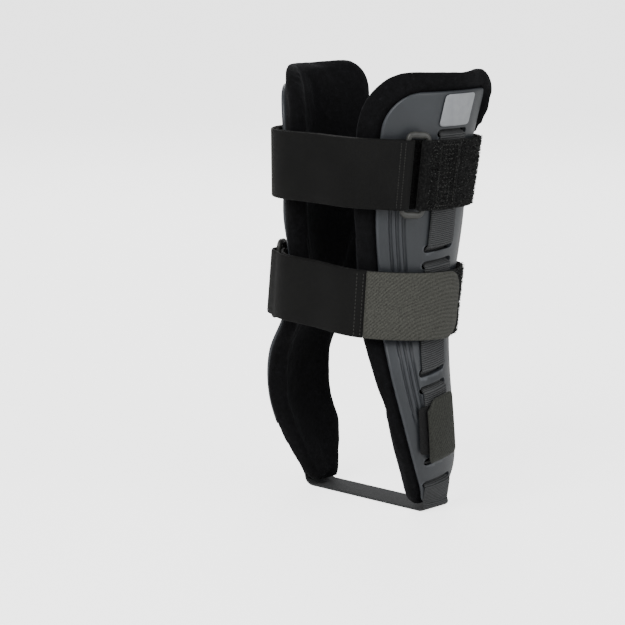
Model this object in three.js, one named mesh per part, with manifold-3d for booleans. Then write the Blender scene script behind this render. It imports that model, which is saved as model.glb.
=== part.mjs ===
// Stirrup ankle brace for a left foot: two moulded side shells with foam liners, joined by a
// webbing strap under the heel and held to the leg by two ring-and-hook wrap straps.
// Millimetres, +Z up, +X lateral, -Y towards the toes. The origin is the centre of the heel
// strap's underside, where the brace stands on the floor.

import * as THREE from 'three';
import { mergeVertices } from 'three/addons/utils/BufferGeometryUtils.js';
import Module from 'manifold-3d';

const wasm = await Module();
wasm.setup();

// ---------------------------------------------------------------- driving dimensions

// Horizontal sections of the shells' outer surface, each an ellipse:
// [height, half width in X, half depth in Y, centre in Y].
const SECTIONS = [
  [0, 39, 36, 0],
  [16, 44.5, 40, -3.6],
  [30, 49, 41, -8.3],
  [50, 52, 41, -13.4],
  [75, 50, 40.4, -14.2],
  [95, 43.8, 40, -8.5],
  [112, 41.8, 40.7, -4.6],
  [127, 43, 43, -3.3],
  [147, 45.5, 45.5, -3.3],
  [172, 46, 46.5, -1.3],
  [192, 48.5, 49.5, 1.2],
  [222, 53, 55, 6.2],
];

// How far a shell reaches round the leg from its middle line: [height, to the front, to the rear].
const REACH = [
  [4, 8.6, 9.5],
  [10, 10, 11.5],
  [16, 12.1, 14.5],
  [22, 14.5, 19.5],
  [35, 18.5, 25.5],
  [66, 25, 26.7],
  [88, 28.3, 26.5],
  [117, 32, 27.1],
  [147, 37, 28.6],
  [172, 38, 27.7],
  [190, 40, 26.4],
  [222, 43.5, 24],
];

const SHELL = {
  bottom: 4, top: 211.5, thickness: 2.6, leastWidth: 0.8, frontCorner: 19, rearCorner: 5, toe: 4,
};
const LINER = {
  bottom: 2.6, top: 222, gap: 0.6, thickness: 7.8, edge: 2.4,
  frontCorner: 26, rearCorner: 8, toe: 9, toeAtRear: 0.4,
};
const LINER_PAST_FRONT = [[0, 8], [60, 9.5], [107, 11], [157, 12.5]];
const LINER_PAST_REAR = [[0, 1.4], [177, 1.6], [202, 5.5], [222, 8]];

// Slots of a shell, from the top down, by the height of their middle.
const SLOT = { length: 21.4, height: 3.9, cutFrom: -6, cutTo: 4 };
const SLOT_A = 191;
const SLOT_B = 134.7;
const SLOT_C = 126.6;
const SLOT_D = 75.4;
const SLOT_E = 67.2;
const SLOT_F = 30;
const SLOT_G = 16.5;
const TILT_LOW = THREE.MathUtils.degToRad(12);

const WEBBING = { width: 18, thickness: 1.2, gap: 0.45, start: 202, end: 35, lead: 4, leadInside: 3 };
const POCKET = { width: 20, depth: 5, over: 2, step: 8 };
const HEEL = { width: 19, bend: 6, split: 0.5 };
const HEEL_TAB = { top: 63, off: 3.7, cornerCut: 4 };
const TAB_PATCH = { bottom: 35, top: 60, front: -14, rear: 8.5, off: 1.9, thickness: 0.8 };
const HOOK_DISC = { radius: 11, off: 3, thickness: 0.7, pocket: 0.55, pocketRim: 1, leastReach: 0.8 };
const HOOK_DISCS = { upper: 162, middle: 101, lower: 48 };
const LABEL = { bottom: 194.3, top: 210, front: -11, rear: 10, off: 0.3, thickness: 0.7, corner: 2 };

// Wrap straps. Angles go round the leg from the lateral side, negative to the front. A strap's
// middle is at height, plus tilt on the lateral side (less on the medial), plus lift in front.
const STRAP = { thickness: 1.4, inner: 2.75, outer: 5.1, split: 0.5 };
const UPPER = { height: 171.3, tilt: -0.4, lift: 2.3, width: 34 };
const LOWER = { height: 108.8, tilt: -2.5, lift: 2.2, width: 32.5 };
const FRONT_GAP = { middle: -90, half: 40, depth: 6.5 };
const REAR_GAP = { middle: 90, half: 50, depth: 10 };

// Ring and the strap loops round its two bars, by angle from the middle of its own side.
const RING = { rearBar: -21, bars: 10.6, rod: 2.6, clearance: 0.6, margin: 1.2, bevel: 0.6, corner: 2.6 };
// Where the layer that comes off a bar starts to fall and where it has fallen, from the bar.
const FALL = { start: 1.5, end: 14 };
const ANCHOR_LEAD = 2;
const LOOP_END = 20;
const FOLD_END = 7;
const SEAM = -52;
const TAB = { end: 17, corner: 9, hookInset: 2, hookThickness: 0.4, hookOff: 3.95 };

// ---------------------------------------------------------------- materials

function material(hex, roughness) {
  return new THREE.MeshStandardMaterial({ color: hex, roughness, metalness: 0 });
}

const shellPlastic = material(0x686c72, 0.45);
const linerFabric = material(0x111112, 1);
const hookTape = material(0x1c1c1c, 0.9);
const grosgrain = material(0x47484a, 0.85);
const strapFabric = material(0x1e1e1d, 0.8);
const loopPile = material(0x2a2a2c, 1);
const tabFabric = material(0x4b4b46, 0.7);
const ringPlastic = material(0x41413d, 0.4);
const labelVinyl = material(0xb9bcc0, 0.6);

// ---------------------------------------------------------------- surface of the brace

// Cubic curve through a table's rows, level beyond its ends.
function follow(table, x, column = 1) {
  const last = table.length - 1;
  const clamped = THREE.MathUtils.clamp(x, table[0][0], table[last][0]);
  let i = 0;
  while (i < last - 1 && clamped > table[i + 1][0]) i += 1;
  const slope = (k) => {
    const before = table[Math.max(k - 1, 0)];
    const after = table[Math.min(k + 1, last)];
    return (after[column] - before[column]) / (after[0] - before[0]);
  };
  const span = table[i + 1][0] - table[i][0];
  const t = (clamped - table[i][0]) / span;
  const a = table[i][column];
  const b = table[i + 1][column];
  const rise = b - a;
  const bendA = slope(i) * span - rise;
  const bendB = rise - slope(i + 1) * span;
  return a + rise * t + t * (1 - t) * (bendA * (1 - t) + bendB * t);
}

function radiusAt(z) {
  return (follow(SECTIONS, z, 1) + follow(SECTIONS, z, 2)) / 2;
}

// Point by the angle from the middle line of a side (1 lateral, -1 medial; negative to the front),
// the height, and the distance out from the shells' outer surface.
function onLeg(side, angle, z, off) {
  const halfX = follow(SECTIONS, z, 1);
  const halfY = follow(SECTIONS, z, 2);
  const normal = new THREE.Vector2(Math.cos(angle) / halfX, Math.sin(angle) / halfY).normalize();
  const x = halfX * Math.cos(angle) + off * normal.x;
  const y = follow(SECTIONS, z, 3) + halfY * Math.sin(angle) + off * normal.y;
  return new THREE.Vector3(side * x, y, z);
}

// The same by arc length s from the side's middle line, positive to the rear.
function onSide(side, s, z, off) {
  return onLeg(side, s / radiusAt(z), z, off);
}

// Slots and the webbing in them lean forward and down, most at the ankle, and level at the sole.
function onLeaningSide(side, s, z, off) {
  const lean = TILT_LOW * (1 - z / SLOT_A) * THREE.MathUtils.smoothstep(z, 4, 24);
  return onSide(side, s, z + s * Math.tan(lean), off);
}

// ---------------------------------------------------------------- solids

function closedGeometry(positions, index) {
  const at = (k) => new THREE.Vector3().fromArray(positions, 3 * index[k]);
  let volume = 0;
  for (let k = 0; k < index.length; k += 3) volume += at(k).dot(at(k + 1).cross(at(k + 2)));
  if (volume < 0) index.reverse();
  const geometry = new THREE.BufferGeometry();
  geometry.setAttribute('position', new THREE.Float32BufferAttribute(positions, 3));
  geometry.setIndex(index);
  geometry.computeVertexNormals();
  return geometry;
}

// Closed sheet between two grids of points: place(column, row, layer) with layer 0 inside, 1 outside.
function sheet(columns, rows, place) {
  const positions = [];
  const index = [];
  for (let layer = 0; layer < 2; layer += 1) {
    for (let j = 0; j <= rows; j += 1) {
      for (let i = 0; i <= columns; i += 1) positions.push(...place(i, j, layer).toArray());
    }
  }
  const at = (i, j, layer) => (layer * (rows + 1) + j) * (columns + 1) + i;
  const quad = (a, b, c, d) => index.push(a, b, c, a, c, d);
  for (let j = 0; j < rows; j += 1) {
    for (let i = 0; i < columns; i += 1) {
      quad(at(i, j, 1), at(i + 1, j, 1), at(i + 1, j + 1, 1), at(i, j + 1, 1));
      quad(at(i, j + 1, 0), at(i + 1, j + 1, 0), at(i + 1, j, 0), at(i, j, 0));
    }
  }
  for (let i = 0; i < columns; i += 1) {
    quad(at(i, 0, 0), at(i + 1, 0, 0), at(i + 1, 0, 1), at(i, 0, 1));
    quad(at(i, rows, 1), at(i + 1, rows, 1), at(i + 1, rows, 0), at(i, rows, 0));
  }
  for (let j = 0; j < rows; j += 1) {
    quad(at(0, j, 1), at(0, j + 1, 1), at(0, j + 1, 0), at(0, j, 0));
    quad(at(columns, j, 0), at(columns, j + 1, 0), at(columns, j + 1, 1), at(columns, j, 1));
  }
  return closedGeometry(positions, index);
}

// Prism through the wall of a side: an outline of [s, z] points, from one offset to another.
function prism(side, outline, offIn, offOut, onSurface) {
  const count = outline.length;
  const positions = [];
  const index = [];
  for (const off of [offIn, offOut]) {
    for (const [s, z] of outline) positions.push(...onSurface(side, s, z, off).toArray());
  }
  for (let k = 0; k < count; k += 1) {
    const next = (k + 1) % count;
    index.push(k, next, count + next, k, count + next, count + k);
  }
  for (let k = 1; k < count - 1; k += 1) {
    index.push(0, k + 1, k, count, count + k, count + k + 1);
  }
  return closedGeometry(positions, index);
}

function toSolid(geometry) {
  const bare = new THREE.BufferGeometry();
  bare.setAttribute('position', geometry.getAttribute('position'));
  bare.setIndex(geometry.getIndex());
  const merged = mergeVertices(bare);
  const vertProperties = new Float32Array(merged.getAttribute('position').array);
  const triVerts = new Uint32Array(merged.getIndex().array);
  return new wasm.Manifold(new wasm.Mesh({ numProp: 3, vertProperties, triVerts }));
}

function cut(geometry, cutters) {
  let solid = toSolid(geometry);
  for (const cutter of cutters) solid = solid.subtract(toSolid(cutter));
  const mesh = solid.getMesh();
  const result = new THREE.BufferGeometry();
  result.setAttribute('position', new THREE.Float32BufferAttribute(mesh.vertProperties, 3));
  result.setIndex(Array.from(mesh.triVerts));
  result.computeVertexNormals();
  return result;
}

function spread(from, to, count) {
  return Array.from({ length: count + 1 }, (_, k) => from + ((to - from) * k) / count);
}

const EASE = 0.6;

// Like spread, but closer together towards both ends.
function eased(from, to, count) {
  return spread(0, 1, count).map((share) => {
    const rounded = (1 - Math.cos(Math.PI * share)) / 2;
    return THREE.MathUtils.lerp(from, to, THREE.MathUtils.lerp(share, rounded, EASE));
  });
}

// How much a rounded corner takes off an edge, at a distance from the end that it turns into.
function cornerInset(distance, radius) {
  if (distance >= radius) return 0;
  const rest = radius - Math.max(distance, 0);
  return radius - Math.sqrt(radius * radius - rest * rest);
}

function arc(centreX, centreY, radius, from, to, steps) {
  return spread(from, to, steps).map(
    (turn) => new THREE.Vector2(centreX + radius * Math.cos(turn), centreY + radius * Math.sin(turn)),
  );
}

// The two edges of a band of even thickness about a path of [along, off] points.
function thicken(path, thickness) {
  return path.map((point, k) => {
    const before = path[Math.max(k - 1, 0)];
    const after = path[Math.min(k + 1, path.length - 1)];
    const normal = new THREE.Vector2(before.y - after.y, after.x - before.x).normalize();
    const half = normal.multiplyScalar(thickness / 2);
    return [point.clone().sub(half), point.clone().add(half)];
  });
}

// ---------------------------------------------------------------- shells and liners

function slotCutter(side, height) {
  const half = SLOT.height / 2;
  const straight = SLOT.length / 2 - half;
  const quarter = Math.PI / 2;
  const rear = arc(straight, height, half, -quarter, quarter, 4);
  const front = arc(-straight, height, half, quarter, 3 * quarter, 4);
  const outline = [...rear, ...front].map((point) => [point.x, point.y]);
  return prism(side, outline, SLOT.cutFrom, SLOT.cutTo, onLeaningSide);
}

function shellEdges(z) {
  const ends = cornerInset(z - SHELL.bottom, SHELL.toe);
  const front = -follow(REACH, z, 1) + ends + cornerInset(SHELL.top - z, SHELL.frontCorner);
  const rear = follow(REACH, z, 2) - ends - cornerInset(SHELL.top - z, SHELL.rearCorner);
  return [front, Math.max(rear, front + SHELL.leastWidth)];
}

function linerEdges(z) {
  const ends = cornerInset(z - LINER.bottom, LINER.toe);
  const frontReach = follow(REACH, z, 1) + follow(LINER_PAST_FRONT, z);
  const rearReach = follow(REACH, z, 2) + follow(LINER_PAST_REAR, z);
  const front = -frontReach + ends + cornerInset(LINER.top - z, LINER.frontCorner);
  const rear = rearReach - LINER.toeAtRear * ends - cornerInset(LINER.top - z, LINER.rearCorner);
  return [front, rear];
}

function shell(side) {
  const heights = eased(SHELL.bottom, SHELL.top, 28);
  const columns = 10;
  const body = sheet(columns, heights.length - 1, (i, j, layer) => {
    const [front, rear] = shellEdges(heights[j]);
    const s = THREE.MathUtils.lerp(front, rear, i / columns);
    return onSide(side, s, heights[j], layer ? 0 : -SHELL.thickness);
  });
  const slots = [SLOT_A, SLOT_B, SLOT_C, SLOT_D, SLOT_E, SLOT_F, SLOT_G];
  return cut(body, slots.map((height) => slotCutter(side, height)));
}

// Clearance in a liner for the webbing that runs inside the shell between two heights.
function webbingPocket(side, bottom, top) {
  const heights = spread(bottom, top, Math.ceil((top - bottom) / POCKET.step));
  const reach = POCKET.width / 2;
  return sheet(4, heights.length - 1, (i, j, layer) => {
    const s = THREE.MathUtils.lerp(-reach, reach, i / 4);
    return onLeaningSide(side, s, heights[j], layer ? POCKET.over : -POCKET.depth);
  });
}

// Round hook tape pad, curved with the shell: a flat disc would stand off its wall.
function disc(side, height, radius, offIn, offOut) {
  const strips = spread(-Math.PI / 2, Math.PI / 2, 8);
  return sheet(strips.length - 1, 2, (i, j, layer) => {
    const s = radius * Math.sin(strips[i]);
    const reach = Math.max(radius * Math.cos(strips[i]), HOOK_DISC.leastReach);
    return onSide(side, s, height + (j - 1) * reach, layer ? offOut : offIn);
  });
}

function liner(side) {
  const heights = eased(LINER.bottom, LINER.top, 26);
  const shares = [0, 0.05, 0.19, 0.34, 0.5, 0.66, 0.81, 0.95, 1];
  const last = shares.length - 1;
  const outer = -SHELL.thickness - LINER.gap;
  const body = sheet(last, heights.length - 1, (i, j, layer) => {
    const [front, rear] = linerEdges(heights[j]);
    const onEdge = i === 0 || i === last || j === 0 || j === heights.length - 1;
    const inset = onEdge ? LINER.edge : 0;
    const s = THREE.MathUtils.lerp(front, rear, shares[i]);
    return onSide(side, s, heights[j], layer ? outer - inset : outer - LINER.thickness + inset);
  });
  const half = SLOT.height / 2;
  const runs = [
    [SLOT_A - half, WEBBING.start + 2],
    [SLOT_C - half, SLOT_B + half],
    [SLOT_E - half, SLOT_D + half],
    [SLOT_G - half, SLOT_F + half],
  ];
  const pockets = runs.map(([bottom, top]) => webbingPocket(side, bottom, top));
  const depth = HOOK_DISC.off + HOOK_DISC.thickness + HOOK_DISC.pocket;
  for (const height of Object.values(HOOK_DISCS)) {
    pockets.push(disc(side, height, HOOK_DISC.radius + HOOK_DISC.pocketRim, -depth, HOOK_DISC.pocketRim));
  }
  return cut(body, pockets);
}

// ---------------------------------------------------------------- webbing

const WEAVE_RADIUS = WEBBING.gap + WEBBING.thickness / 2;
const OUTSIDE_RUN = WEAVE_RADIUS;
const INSIDE_RUN = -SHELL.thickness - WEAVE_RADIUS;

// Path down through a slot, as [height, off] points: round one lip and then the other.
// inward is true where the webbing goes from outside, above the slot, to inside, below it.
function crossing(height, inward) {
  const upper = new THREE.Vector2(height + SLOT.height / 2, inward ? 0 : -SHELL.thickness);
  const lower = new THREE.Vector2(height - SLOT.height / 2, inward ? -SHELL.thickness : 0);
  const across = lower.clone().sub(upper);
  const lean = Math.atan2(Math.abs(across.y), Math.abs(across.x));
  const turn = lean + Math.asin((2 * WEAVE_RADIUS) / across.length());
  const out = inward ? WEAVE_RADIUS : -WEAVE_RADIUS;
  const round = (lip, sign) => (angle) =>
    new THREE.Vector2(
      lip.x - sign * WEAVE_RADIUS * Math.sin(angle),
      lip.y + sign * out * Math.cos(angle),
    );
  return [...spread(0, turn, 3).map(round(upper, 1)), ...spread(turn, 0, 3).map(round(lower, -1))];
}

function run(from, to, off, step = 11) {
  const count = Math.max(1, Math.ceil(Math.abs(to - from) / step));
  return spread(from, to, count).map((height) => new THREE.Vector2(height, off));
}

// Band on a side, between the paired edges of a path of [height, off] points.
function sideBand(side, edges, sRange, cells) {
  return sheet(edges.length - 1, cells, (i, j, layer) => {
    const point = edges[i][layer];
    const [front, rear] = sRange(point.x);
    return onLeaningSide(side, THREE.MathUtils.lerp(front, rear, j / cells), point.x, point.y);
  });
}

function sideWebbing(side) {
  const path = [
    ...run(WEBBING.start, SLOT_A + WEBBING.leadInside, INSIDE_RUN),
    ...crossing(SLOT_A, false),
    ...run(SLOT_A - WEBBING.lead, SLOT_B + WEBBING.lead, OUTSIDE_RUN),
    ...crossing(SLOT_B, true),
    ...crossing(SLOT_C, false),
    ...run(SLOT_C - WEBBING.lead, SLOT_D + WEBBING.lead, OUTSIDE_RUN),
    ...crossing(SLOT_D, true),
    ...crossing(SLOT_E, false),
    ...run(SLOT_E - WEBBING.lead, WEBBING.end, OUTSIDE_RUN),
  ];
  const half = WEBBING.width / 2;
  return sideBand(side, thicken(path, WEBBING.thickness), () => [-half, half], 3);
}

// How far out the heel strap's flat sole goes before it bends up to follow a shell.
const BEND_X = follow(SECTIONS, HEEL.bend, 1) + WEBBING.gap + WEBBING.thickness - HEEL.bend;

// Heel strap of one side, from slot F down inside the shell, out of slot G and down to the bend.
function heelRise() {
  const lip = new THREE.Vector2(SLOT_F - SLOT.height / 2, -SHELL.thickness);
  const mouth = new THREE.Vector2(SLOT_F, HEEL.split);
  const reach = mouth.clone().sub(lip);
  const touch = Math.atan2(reach.y, reach.x) - Math.acos(WEAVE_RADIUS / reach.length());
  const path = [
    mouth,
    ...arc(lip.x, lip.y, WEAVE_RADIUS, touch, -Math.PI / 2, 3),
    ...crossing(SLOT_G, false),
    ...run(SLOT_G - WEBBING.lead, HEEL.bend, OUTSIDE_RUN, WEBBING.lead),
  ];
  return thicken(path, WEBBING.thickness);
}

// The rise, the bend, and the flat sole as far as x = soleEnd, counted towards the strap's side.
function heelStrap(side, soleEnd) {
  const rise = heelRise();
  const bends = [HEEL.bend - WEBBING.thickness, HEEL.bend].map((radius) =>
    arc(BEND_X, HEEL.bend, radius, 0, -Math.PI / 2, 6),
  );
  const under = bends[0].map((point, k) => [point, bends[1][k]]).slice(1);
  if (soleEnd < BEND_X) {
    for (const x of spread(BEND_X, soleEnd, 4).slice(1)) {
      under.push([new THREE.Vector2(x, WEBBING.thickness), new THREE.Vector2(x, 0)]);
    }
  }
  const cells = 4;
  const middle = onLeaningSide(side, 0, HEEL.bend, 0);
  return sheet(rise.length + under.length - 1, cells, (i, j, layer) => {
    const s = THREE.MathUtils.lerp(-HEEL.width / 2, HEEL.width / 2, j / cells);
    if (i < rise.length) return onLeaningSide(side, s, rise[i][layer].x, rise[i][layer].y);
    const point = under[i - rise.length][layer];
    const curved = onLeaningSide(side, s, HEEL.bend, 0).sub(middle);
    curved.y += middle.y;
    const share = THREE.MathUtils.smoothstep(point.y, WEBBING.thickness, HEEL.bend);
    const across = new THREE.Vector3(0, s, 0).lerp(curved, share);
    return new THREE.Vector3(side * point.x, 0, point.y).add(across);
  });
}

// The heel strap's free end: out of slot F, round its bottom fold and up over the hook patch.
function heelTab(side) {
  const fold = HEEL_TAB.off - 2 * HEEL.split;
  const path = [
    ...arc(SLOT_F + fold, 2 * HEEL.split, fold, Math.PI, Math.PI / 2, 5),
    ...run(SLOT_F + fold + WEBBING.lead, HEEL_TAB.top - HEEL_TAB.cornerCut, HEEL_TAB.off),
    new THREE.Vector2(HEEL_TAB.top, HEEL_TAB.off),
  ];
  const half = HEEL.width / 2;
  const range = (height) => [Math.max(height - HEEL_TAB.top + HEEL_TAB.cornerCut, 0) - half, half];
  return sideBand(side, thicken(path, WEBBING.thickness), range, 3);
}

function tabPatch(side) {
  const path = run(TAB_PATCH.bottom, TAB_PATCH.top, TAB_PATCH.off + TAB_PATCH.thickness / 2);
  return sideBand(side, thicken(path, TAB_PATCH.thickness), () => [TAB_PATCH.front, TAB_PATCH.rear], 4);
}

function hookDisc(side, height) {
  return disc(side, height, HOOK_DISC.radius, -HOOK_DISC.off - HOOK_DISC.thickness, -HOOK_DISC.off);
}

function label() {
  const heights = eased(LABEL.bottom, LABEL.top, 6);
  return sheet(5, heights.length - 1, (i, j, layer) => {
    const z = heights[j];
    const inset = cornerInset(Math.min(z - LABEL.bottom, LABEL.top - z), LABEL.corner);
    const s = THREE.MathUtils.lerp(LABEL.front + inset, LABEL.rear - inset, i / 5);
    return onSide(1, s, z, LABEL.off + layer * LABEL.thickness);
  });
}

// ---------------------------------------------------------------- wrap straps

const LOOP_RADIUS = RING.rod / 2 + RING.clearance + STRAP.thickness / 2;
const BAR_OFF = STRAP.inner + LOOP_RADIUS;

function strapRadius(strap) {
  return radiusAt(strap.height) + BAR_OFF;
}

// Length along a strap for an angle from the middle of a side.
function alongAt(strap, degrees) {
  return THREE.MathUtils.degToRad(degrees) * strapRadius(strap);
}

// Point on a strap, which is straight across its width: share 0 is its lower edge, 1 its upper.
function strapPoint(strap, side, along, share, off) {
  const angle = along / strapRadius(strap);
  const middle = strap.height + strap.tilt * side * Math.cos(angle) - strap.lift * Math.sin(angle);
  const low = onLeg(side, angle, middle - strap.width / 2, off);
  const high = onLeg(side, angle, middle + strap.width / 2, off);
  return low.lerp(high, share);
}

// Between the shells a strap cuts across the gap, closer to the leg.
function dip(strap, along) {
  const degrees = THREE.MathUtils.radToDeg(along / strapRadius(strap));
  let depth = 0;
  for (const gap of [FRONT_GAP, REAR_GAP]) {
    const away = Math.min(Math.abs(degrees - gap.middle) / gap.half, 1);
    depth += gap.depth * (0.5 + 0.5 * Math.cos(Math.PI * away));
  }
  return depth;
}

function strapRun(strap, from, to, offAt, step = 6) {
  const count = Math.max(2, Math.ceil(Math.abs(to - from) / step));
  return spread(from, to, count).map(
    (along) => new THREE.Vector2(along, offAt(along) - dip(strap, along)),
  );
}

// Solid of a strap along a path; widthShare narrows it towards a rounded end.
function strapBand(strap, side, path, thickness = STRAP.thickness, widthShare = () => 1) {
  const edges = thicken(path, thickness);
  return sheet(path.length - 1, 1, (i, j, layer) => {
    const share = 0.5 + (j - 0.5) * widthShare(path[i].x);
    return strapPoint(strap, side, edges[i][layer].x, share, edges[i][layer].y);
  });
}

const innerOff = () => STRAP.inner;
const outerOff = () => STRAP.outer;

function bars(strap) {
  const rear = alongAt(strap, RING.rearBar);
  return { rear, front: rear - RING.bars };
}

// Height of the layer that comes off a bar, falling to the level of the layer below it.
function offBar(bar) {
  return (along) => {
    const fall = THREE.MathUtils.smoothstep(Math.abs(along - bar), FALL.start, FALL.end);
    return THREE.MathUtils.lerp(BAR_OFF + LOOP_RADIUS, STRAP.outer, fall);
  };
}

// Half turn round a bar, from the inner layer to the outer one; towards is -1 or 1 along the strap.
function turnRound(bar, towards) {
  return spread(-Math.PI / 2, Math.PI / 2, 8).map(
    (turn) =>
      new THREE.Vector2(
        bar + towards * LOOP_RADIUS * Math.cos(turn),
        BAR_OFF + LOOP_RADIUS * Math.sin(turn),
      ),
  );
}

// Gap edge in the middle of the space between the shells, in front (-1) or behind (1).
function gapEdge(strap, towards) {
  return towards * (alongAt(strap, 90) - STRAP.split / 2);
}

function strapAnchor(strap, side) {
  const { rear } = bars(strap);
  const path = [
    ...strapRun(strap, gapEdge(strap, 1), rear + ANCHOR_LEAD, innerOff),
    ...turnRound(rear, -1),
    ...strapRun(strap, rear + ANCHOR_LEAD, rear + LOOP_END, offBar(rear), 3),
  ];
  return strapBand(strap, side, path);
}

function strapFold(strap, side) {
  const { front } = bars(strap);
  const path = [
    ...strapRun(strap, front - FOLD_END, front - FALL.start, innerOff, 3),
    ...turnRound(front, 1),
    ...strapRun(strap, front - FALL.start, front - FOLD_END, offBar(front), 3),
  ];
  return strapBand(strap, side, path);
}

function strapFrontInner(strap, side) {
  const start = bars(strap).front - FOLD_END - STRAP.split;
  return strapBand(strap, side, strapRun(strap, start, gapEdge(strap, -1), innerOff));
}

function strapFrontOuter(strap, side) {
  const { front } = bars(strap);
  const start = front - FOLD_END - STRAP.split;
  return strapBand(strap, side, strapRun(strap, start, gapEdge(strap, -1), offBar(front), 4));
}

function strapFarBand(strap, side) {
  return strapBand(strap, side, strapRun(strap, gapEdge(strap, 1), gapEdge(strap, -1), innerOff));
}

function strapOuterEnd(strap, side) {
  const end = alongAt(strap, SEAM) - STRAP.split / 2;
  return strapBand(strap, side, strapRun(strap, gapEdge(strap, -1), end, outerOff));
}

// Share of a tab's width that is left at a distance from its rounded end.
function roundedShare(end, width, corner) {
  return (along) => 1 - (2 * cornerInset(end - along, corner)) / width;
}

// Columns of a tab: even steps, then closer ones round the corners of its end.
function tabRun(strap, inset, off) {
  const start = alongAt(strap, SEAM) + STRAP.split / 2 + inset;
  const end = alongAt(strap, TAB.end) - inset;
  const bend = spread(0, Math.PI / 2, 5).slice(1).map((turn) => end - TAB.corner * (1 - Math.sin(turn)));
  const round = bend.flatMap((along) => strapRun(strap, along, along, off).slice(0, 1));
  return { path: [...strapRun(strap, start, end - TAB.corner, off), ...round], end };
}

function strapTab(strap, side) {
  const { path, end } = tabRun(strap, 0, outerOff);
  return strapBand(strap, side, path, STRAP.thickness, roundedShare(end, strap.width, TAB.corner));
}

function strapTabHook(strap, side) {
  const { path, end } = tabRun(strap, TAB.hookInset, () => TAB.hookOff);
  const narrow = 1 - (2 * TAB.hookInset) / strap.width;
  const share = roundedShare(end, strap.width, TAB.corner);
  return strapBand(strap, side, path, TAB.hookThickness, (along) => share(along) - 1 + narrow);
}

function roundedRectangle(PathClass, width, height, corner) {
  const x = width / 2;
  const y = height / 2;
  const path = new PathClass();
  path.moveTo(x, corner - y);
  path.lineTo(x, y - corner);
  path.absarc(x - corner, y - corner, corner, 0, Math.PI / 2, false);
  path.lineTo(corner - x, y);
  path.absarc(corner - x, y - corner, corner, Math.PI / 2, Math.PI, false);
  path.lineTo(-x, corner - y);
  path.absarc(corner - x, corner - y, corner, Math.PI, 1.5 * Math.PI, false);
  path.lineTo(x - corner, -y);
  path.absarc(x - corner, corner - y, corner, 1.5 * Math.PI, 2 * Math.PI, false);
  return path;
}

// Moulded rectangular ring, flat in its own XY plane with its bars along Y.
function ringGeometry(strap) {
  const width = RING.bars + RING.rod - 2 * RING.bevel;
  const height = strap.width + 2 * RING.margin + 2 * RING.rod - 2 * RING.bevel;
  const wall = RING.rod - 2 * RING.bevel;
  const outline = roundedRectangle(THREE.Shape, width, height, RING.corner);
  outline.holes.push(
    roundedRectangle(THREE.Path, width - 2 * wall, height - 2 * wall, RING.corner - wall / 2),
  );
  const depth = RING.rod - 2 * RING.bevel;
  const geometry = new THREE.ExtrudeGeometry(outline, {
    depth,
    bevelThickness: RING.bevel,
    bevelSize: RING.bevel,
    bevelSegments: 1,
    curveSegments: 3,
  });
  geometry.translate(0, 0, -depth / 2);
  geometry.deleteAttribute('normal');
  geometry.deleteAttribute('uv');
  const merged = mergeVertices(geometry, 1e-3);
  merged.computeVertexNormals();
  return merged;
}

function placeRing(mesh, strap, side) {
  const { rear, front } = bars(strap);
  const rearBar = strapPoint(strap, side, rear, 0.5, BAR_OFF);
  const frontBar = strapPoint(strap, side, front, 0.5, BAR_OFF);
  const up = strapPoint(strap, side, (rear + front) / 2, 1, BAR_OFF);
  up.sub(strapPoint(strap, side, (rear + front) / 2, 0, BAR_OFF)).normalize();
  const ahead = frontBar.clone().sub(rearBar);
  ahead.addScaledVector(up, -ahead.dot(up)).normalize();
  const basis = new THREE.Matrix4().makeBasis(ahead, up, ahead.clone().cross(up));
  mesh.quaternion.setFromRotationMatrix(basis);
  mesh.position.copy(rearBar.add(frontBar).multiplyScalar(0.5));
}

// ---------------------------------------------------------------- assembly

const brace = new THREE.Group();

function add(name, geometry, surface) {
  const mesh = new THREE.Mesh(geometry, surface);
  mesh.name = name;
  brace.add(mesh);
  return mesh;
}

function addSide(name, side) {
  add(`${name}_shell`, shell(side), shellPlastic);
  add(`${name}_liner`, liner(side), linerFabric);
  for (const [place, height] of Object.entries(HOOK_DISCS)) {
    add(`${name}_liner_hook_${place}`, hookDisc(side, height), hookTape);
  }
  add(`${name}_side_webbing`, sideWebbing(side), grosgrain);
  add(`${name}_heel_tab`, heelTab(side), tabFabric);
  add(`${name}_heel_tab_patch`, tabPatch(side), hookTape);
}

// side is the side of the strap's ring; its free end goes over the front to the other side.
function addWrapStrap(name, strap, side) {
  add(`${name}_strap_anchor`, strapAnchor(strap, side), loopPile);
  placeRing(add(`${name}_strap_ring`, ringGeometry(strap), ringPlastic), strap, side);
  add(`${name}_strap_fold`, strapFold(strap, side), strapFabric);
  add(`${name}_strap_front_inner`, strapFrontInner(strap, side), strapFabric);
  add(`${name}_strap_front_outer`, strapFrontOuter(strap, side), strapFabric);
  add(`${name}_strap_band`, strapFarBand(strap, -side), loopPile);
  add(`${name}_strap_outer_end`, strapOuterEnd(strap, -side), strapFabric);
  add(`${name}_strap_tab`, strapTab(strap, -side), tabFabric);
  add(`${name}_strap_tab_hook`, strapTabHook(strap, -side), hookTape);
}

addSide('lateral', 1);
addSide('medial', -1);
add('heel_strap', heelStrap(1, HEEL.split - BEND_X), grosgrain);
add('heel_strap_medial', heelStrap(-1, BEND_X), grosgrain);
addWrapStrap('upper', UPPER, 1);
addWrapStrap('lower', LOWER, -1);
add('label_patch', label(), labelVinyl);

export default brace;
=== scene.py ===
"""Looks of a stirrup ankle brace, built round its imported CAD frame.

The brace has two moulded side shells with padded liners, grosgrain webbing woven through the
shells' slots, a heel strap, and two wrap straps that turn back through rings and close with hook
tabs. Lengths are millimetres until a mesh is made, in the frame's axes: +Z up, +X lateral, -Y
towards the toes. The medial side mirrors the lateral one.
"""

import math

import bmesh
import bpy
import numpy as np
from mathutils import Matrix, Vector


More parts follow.
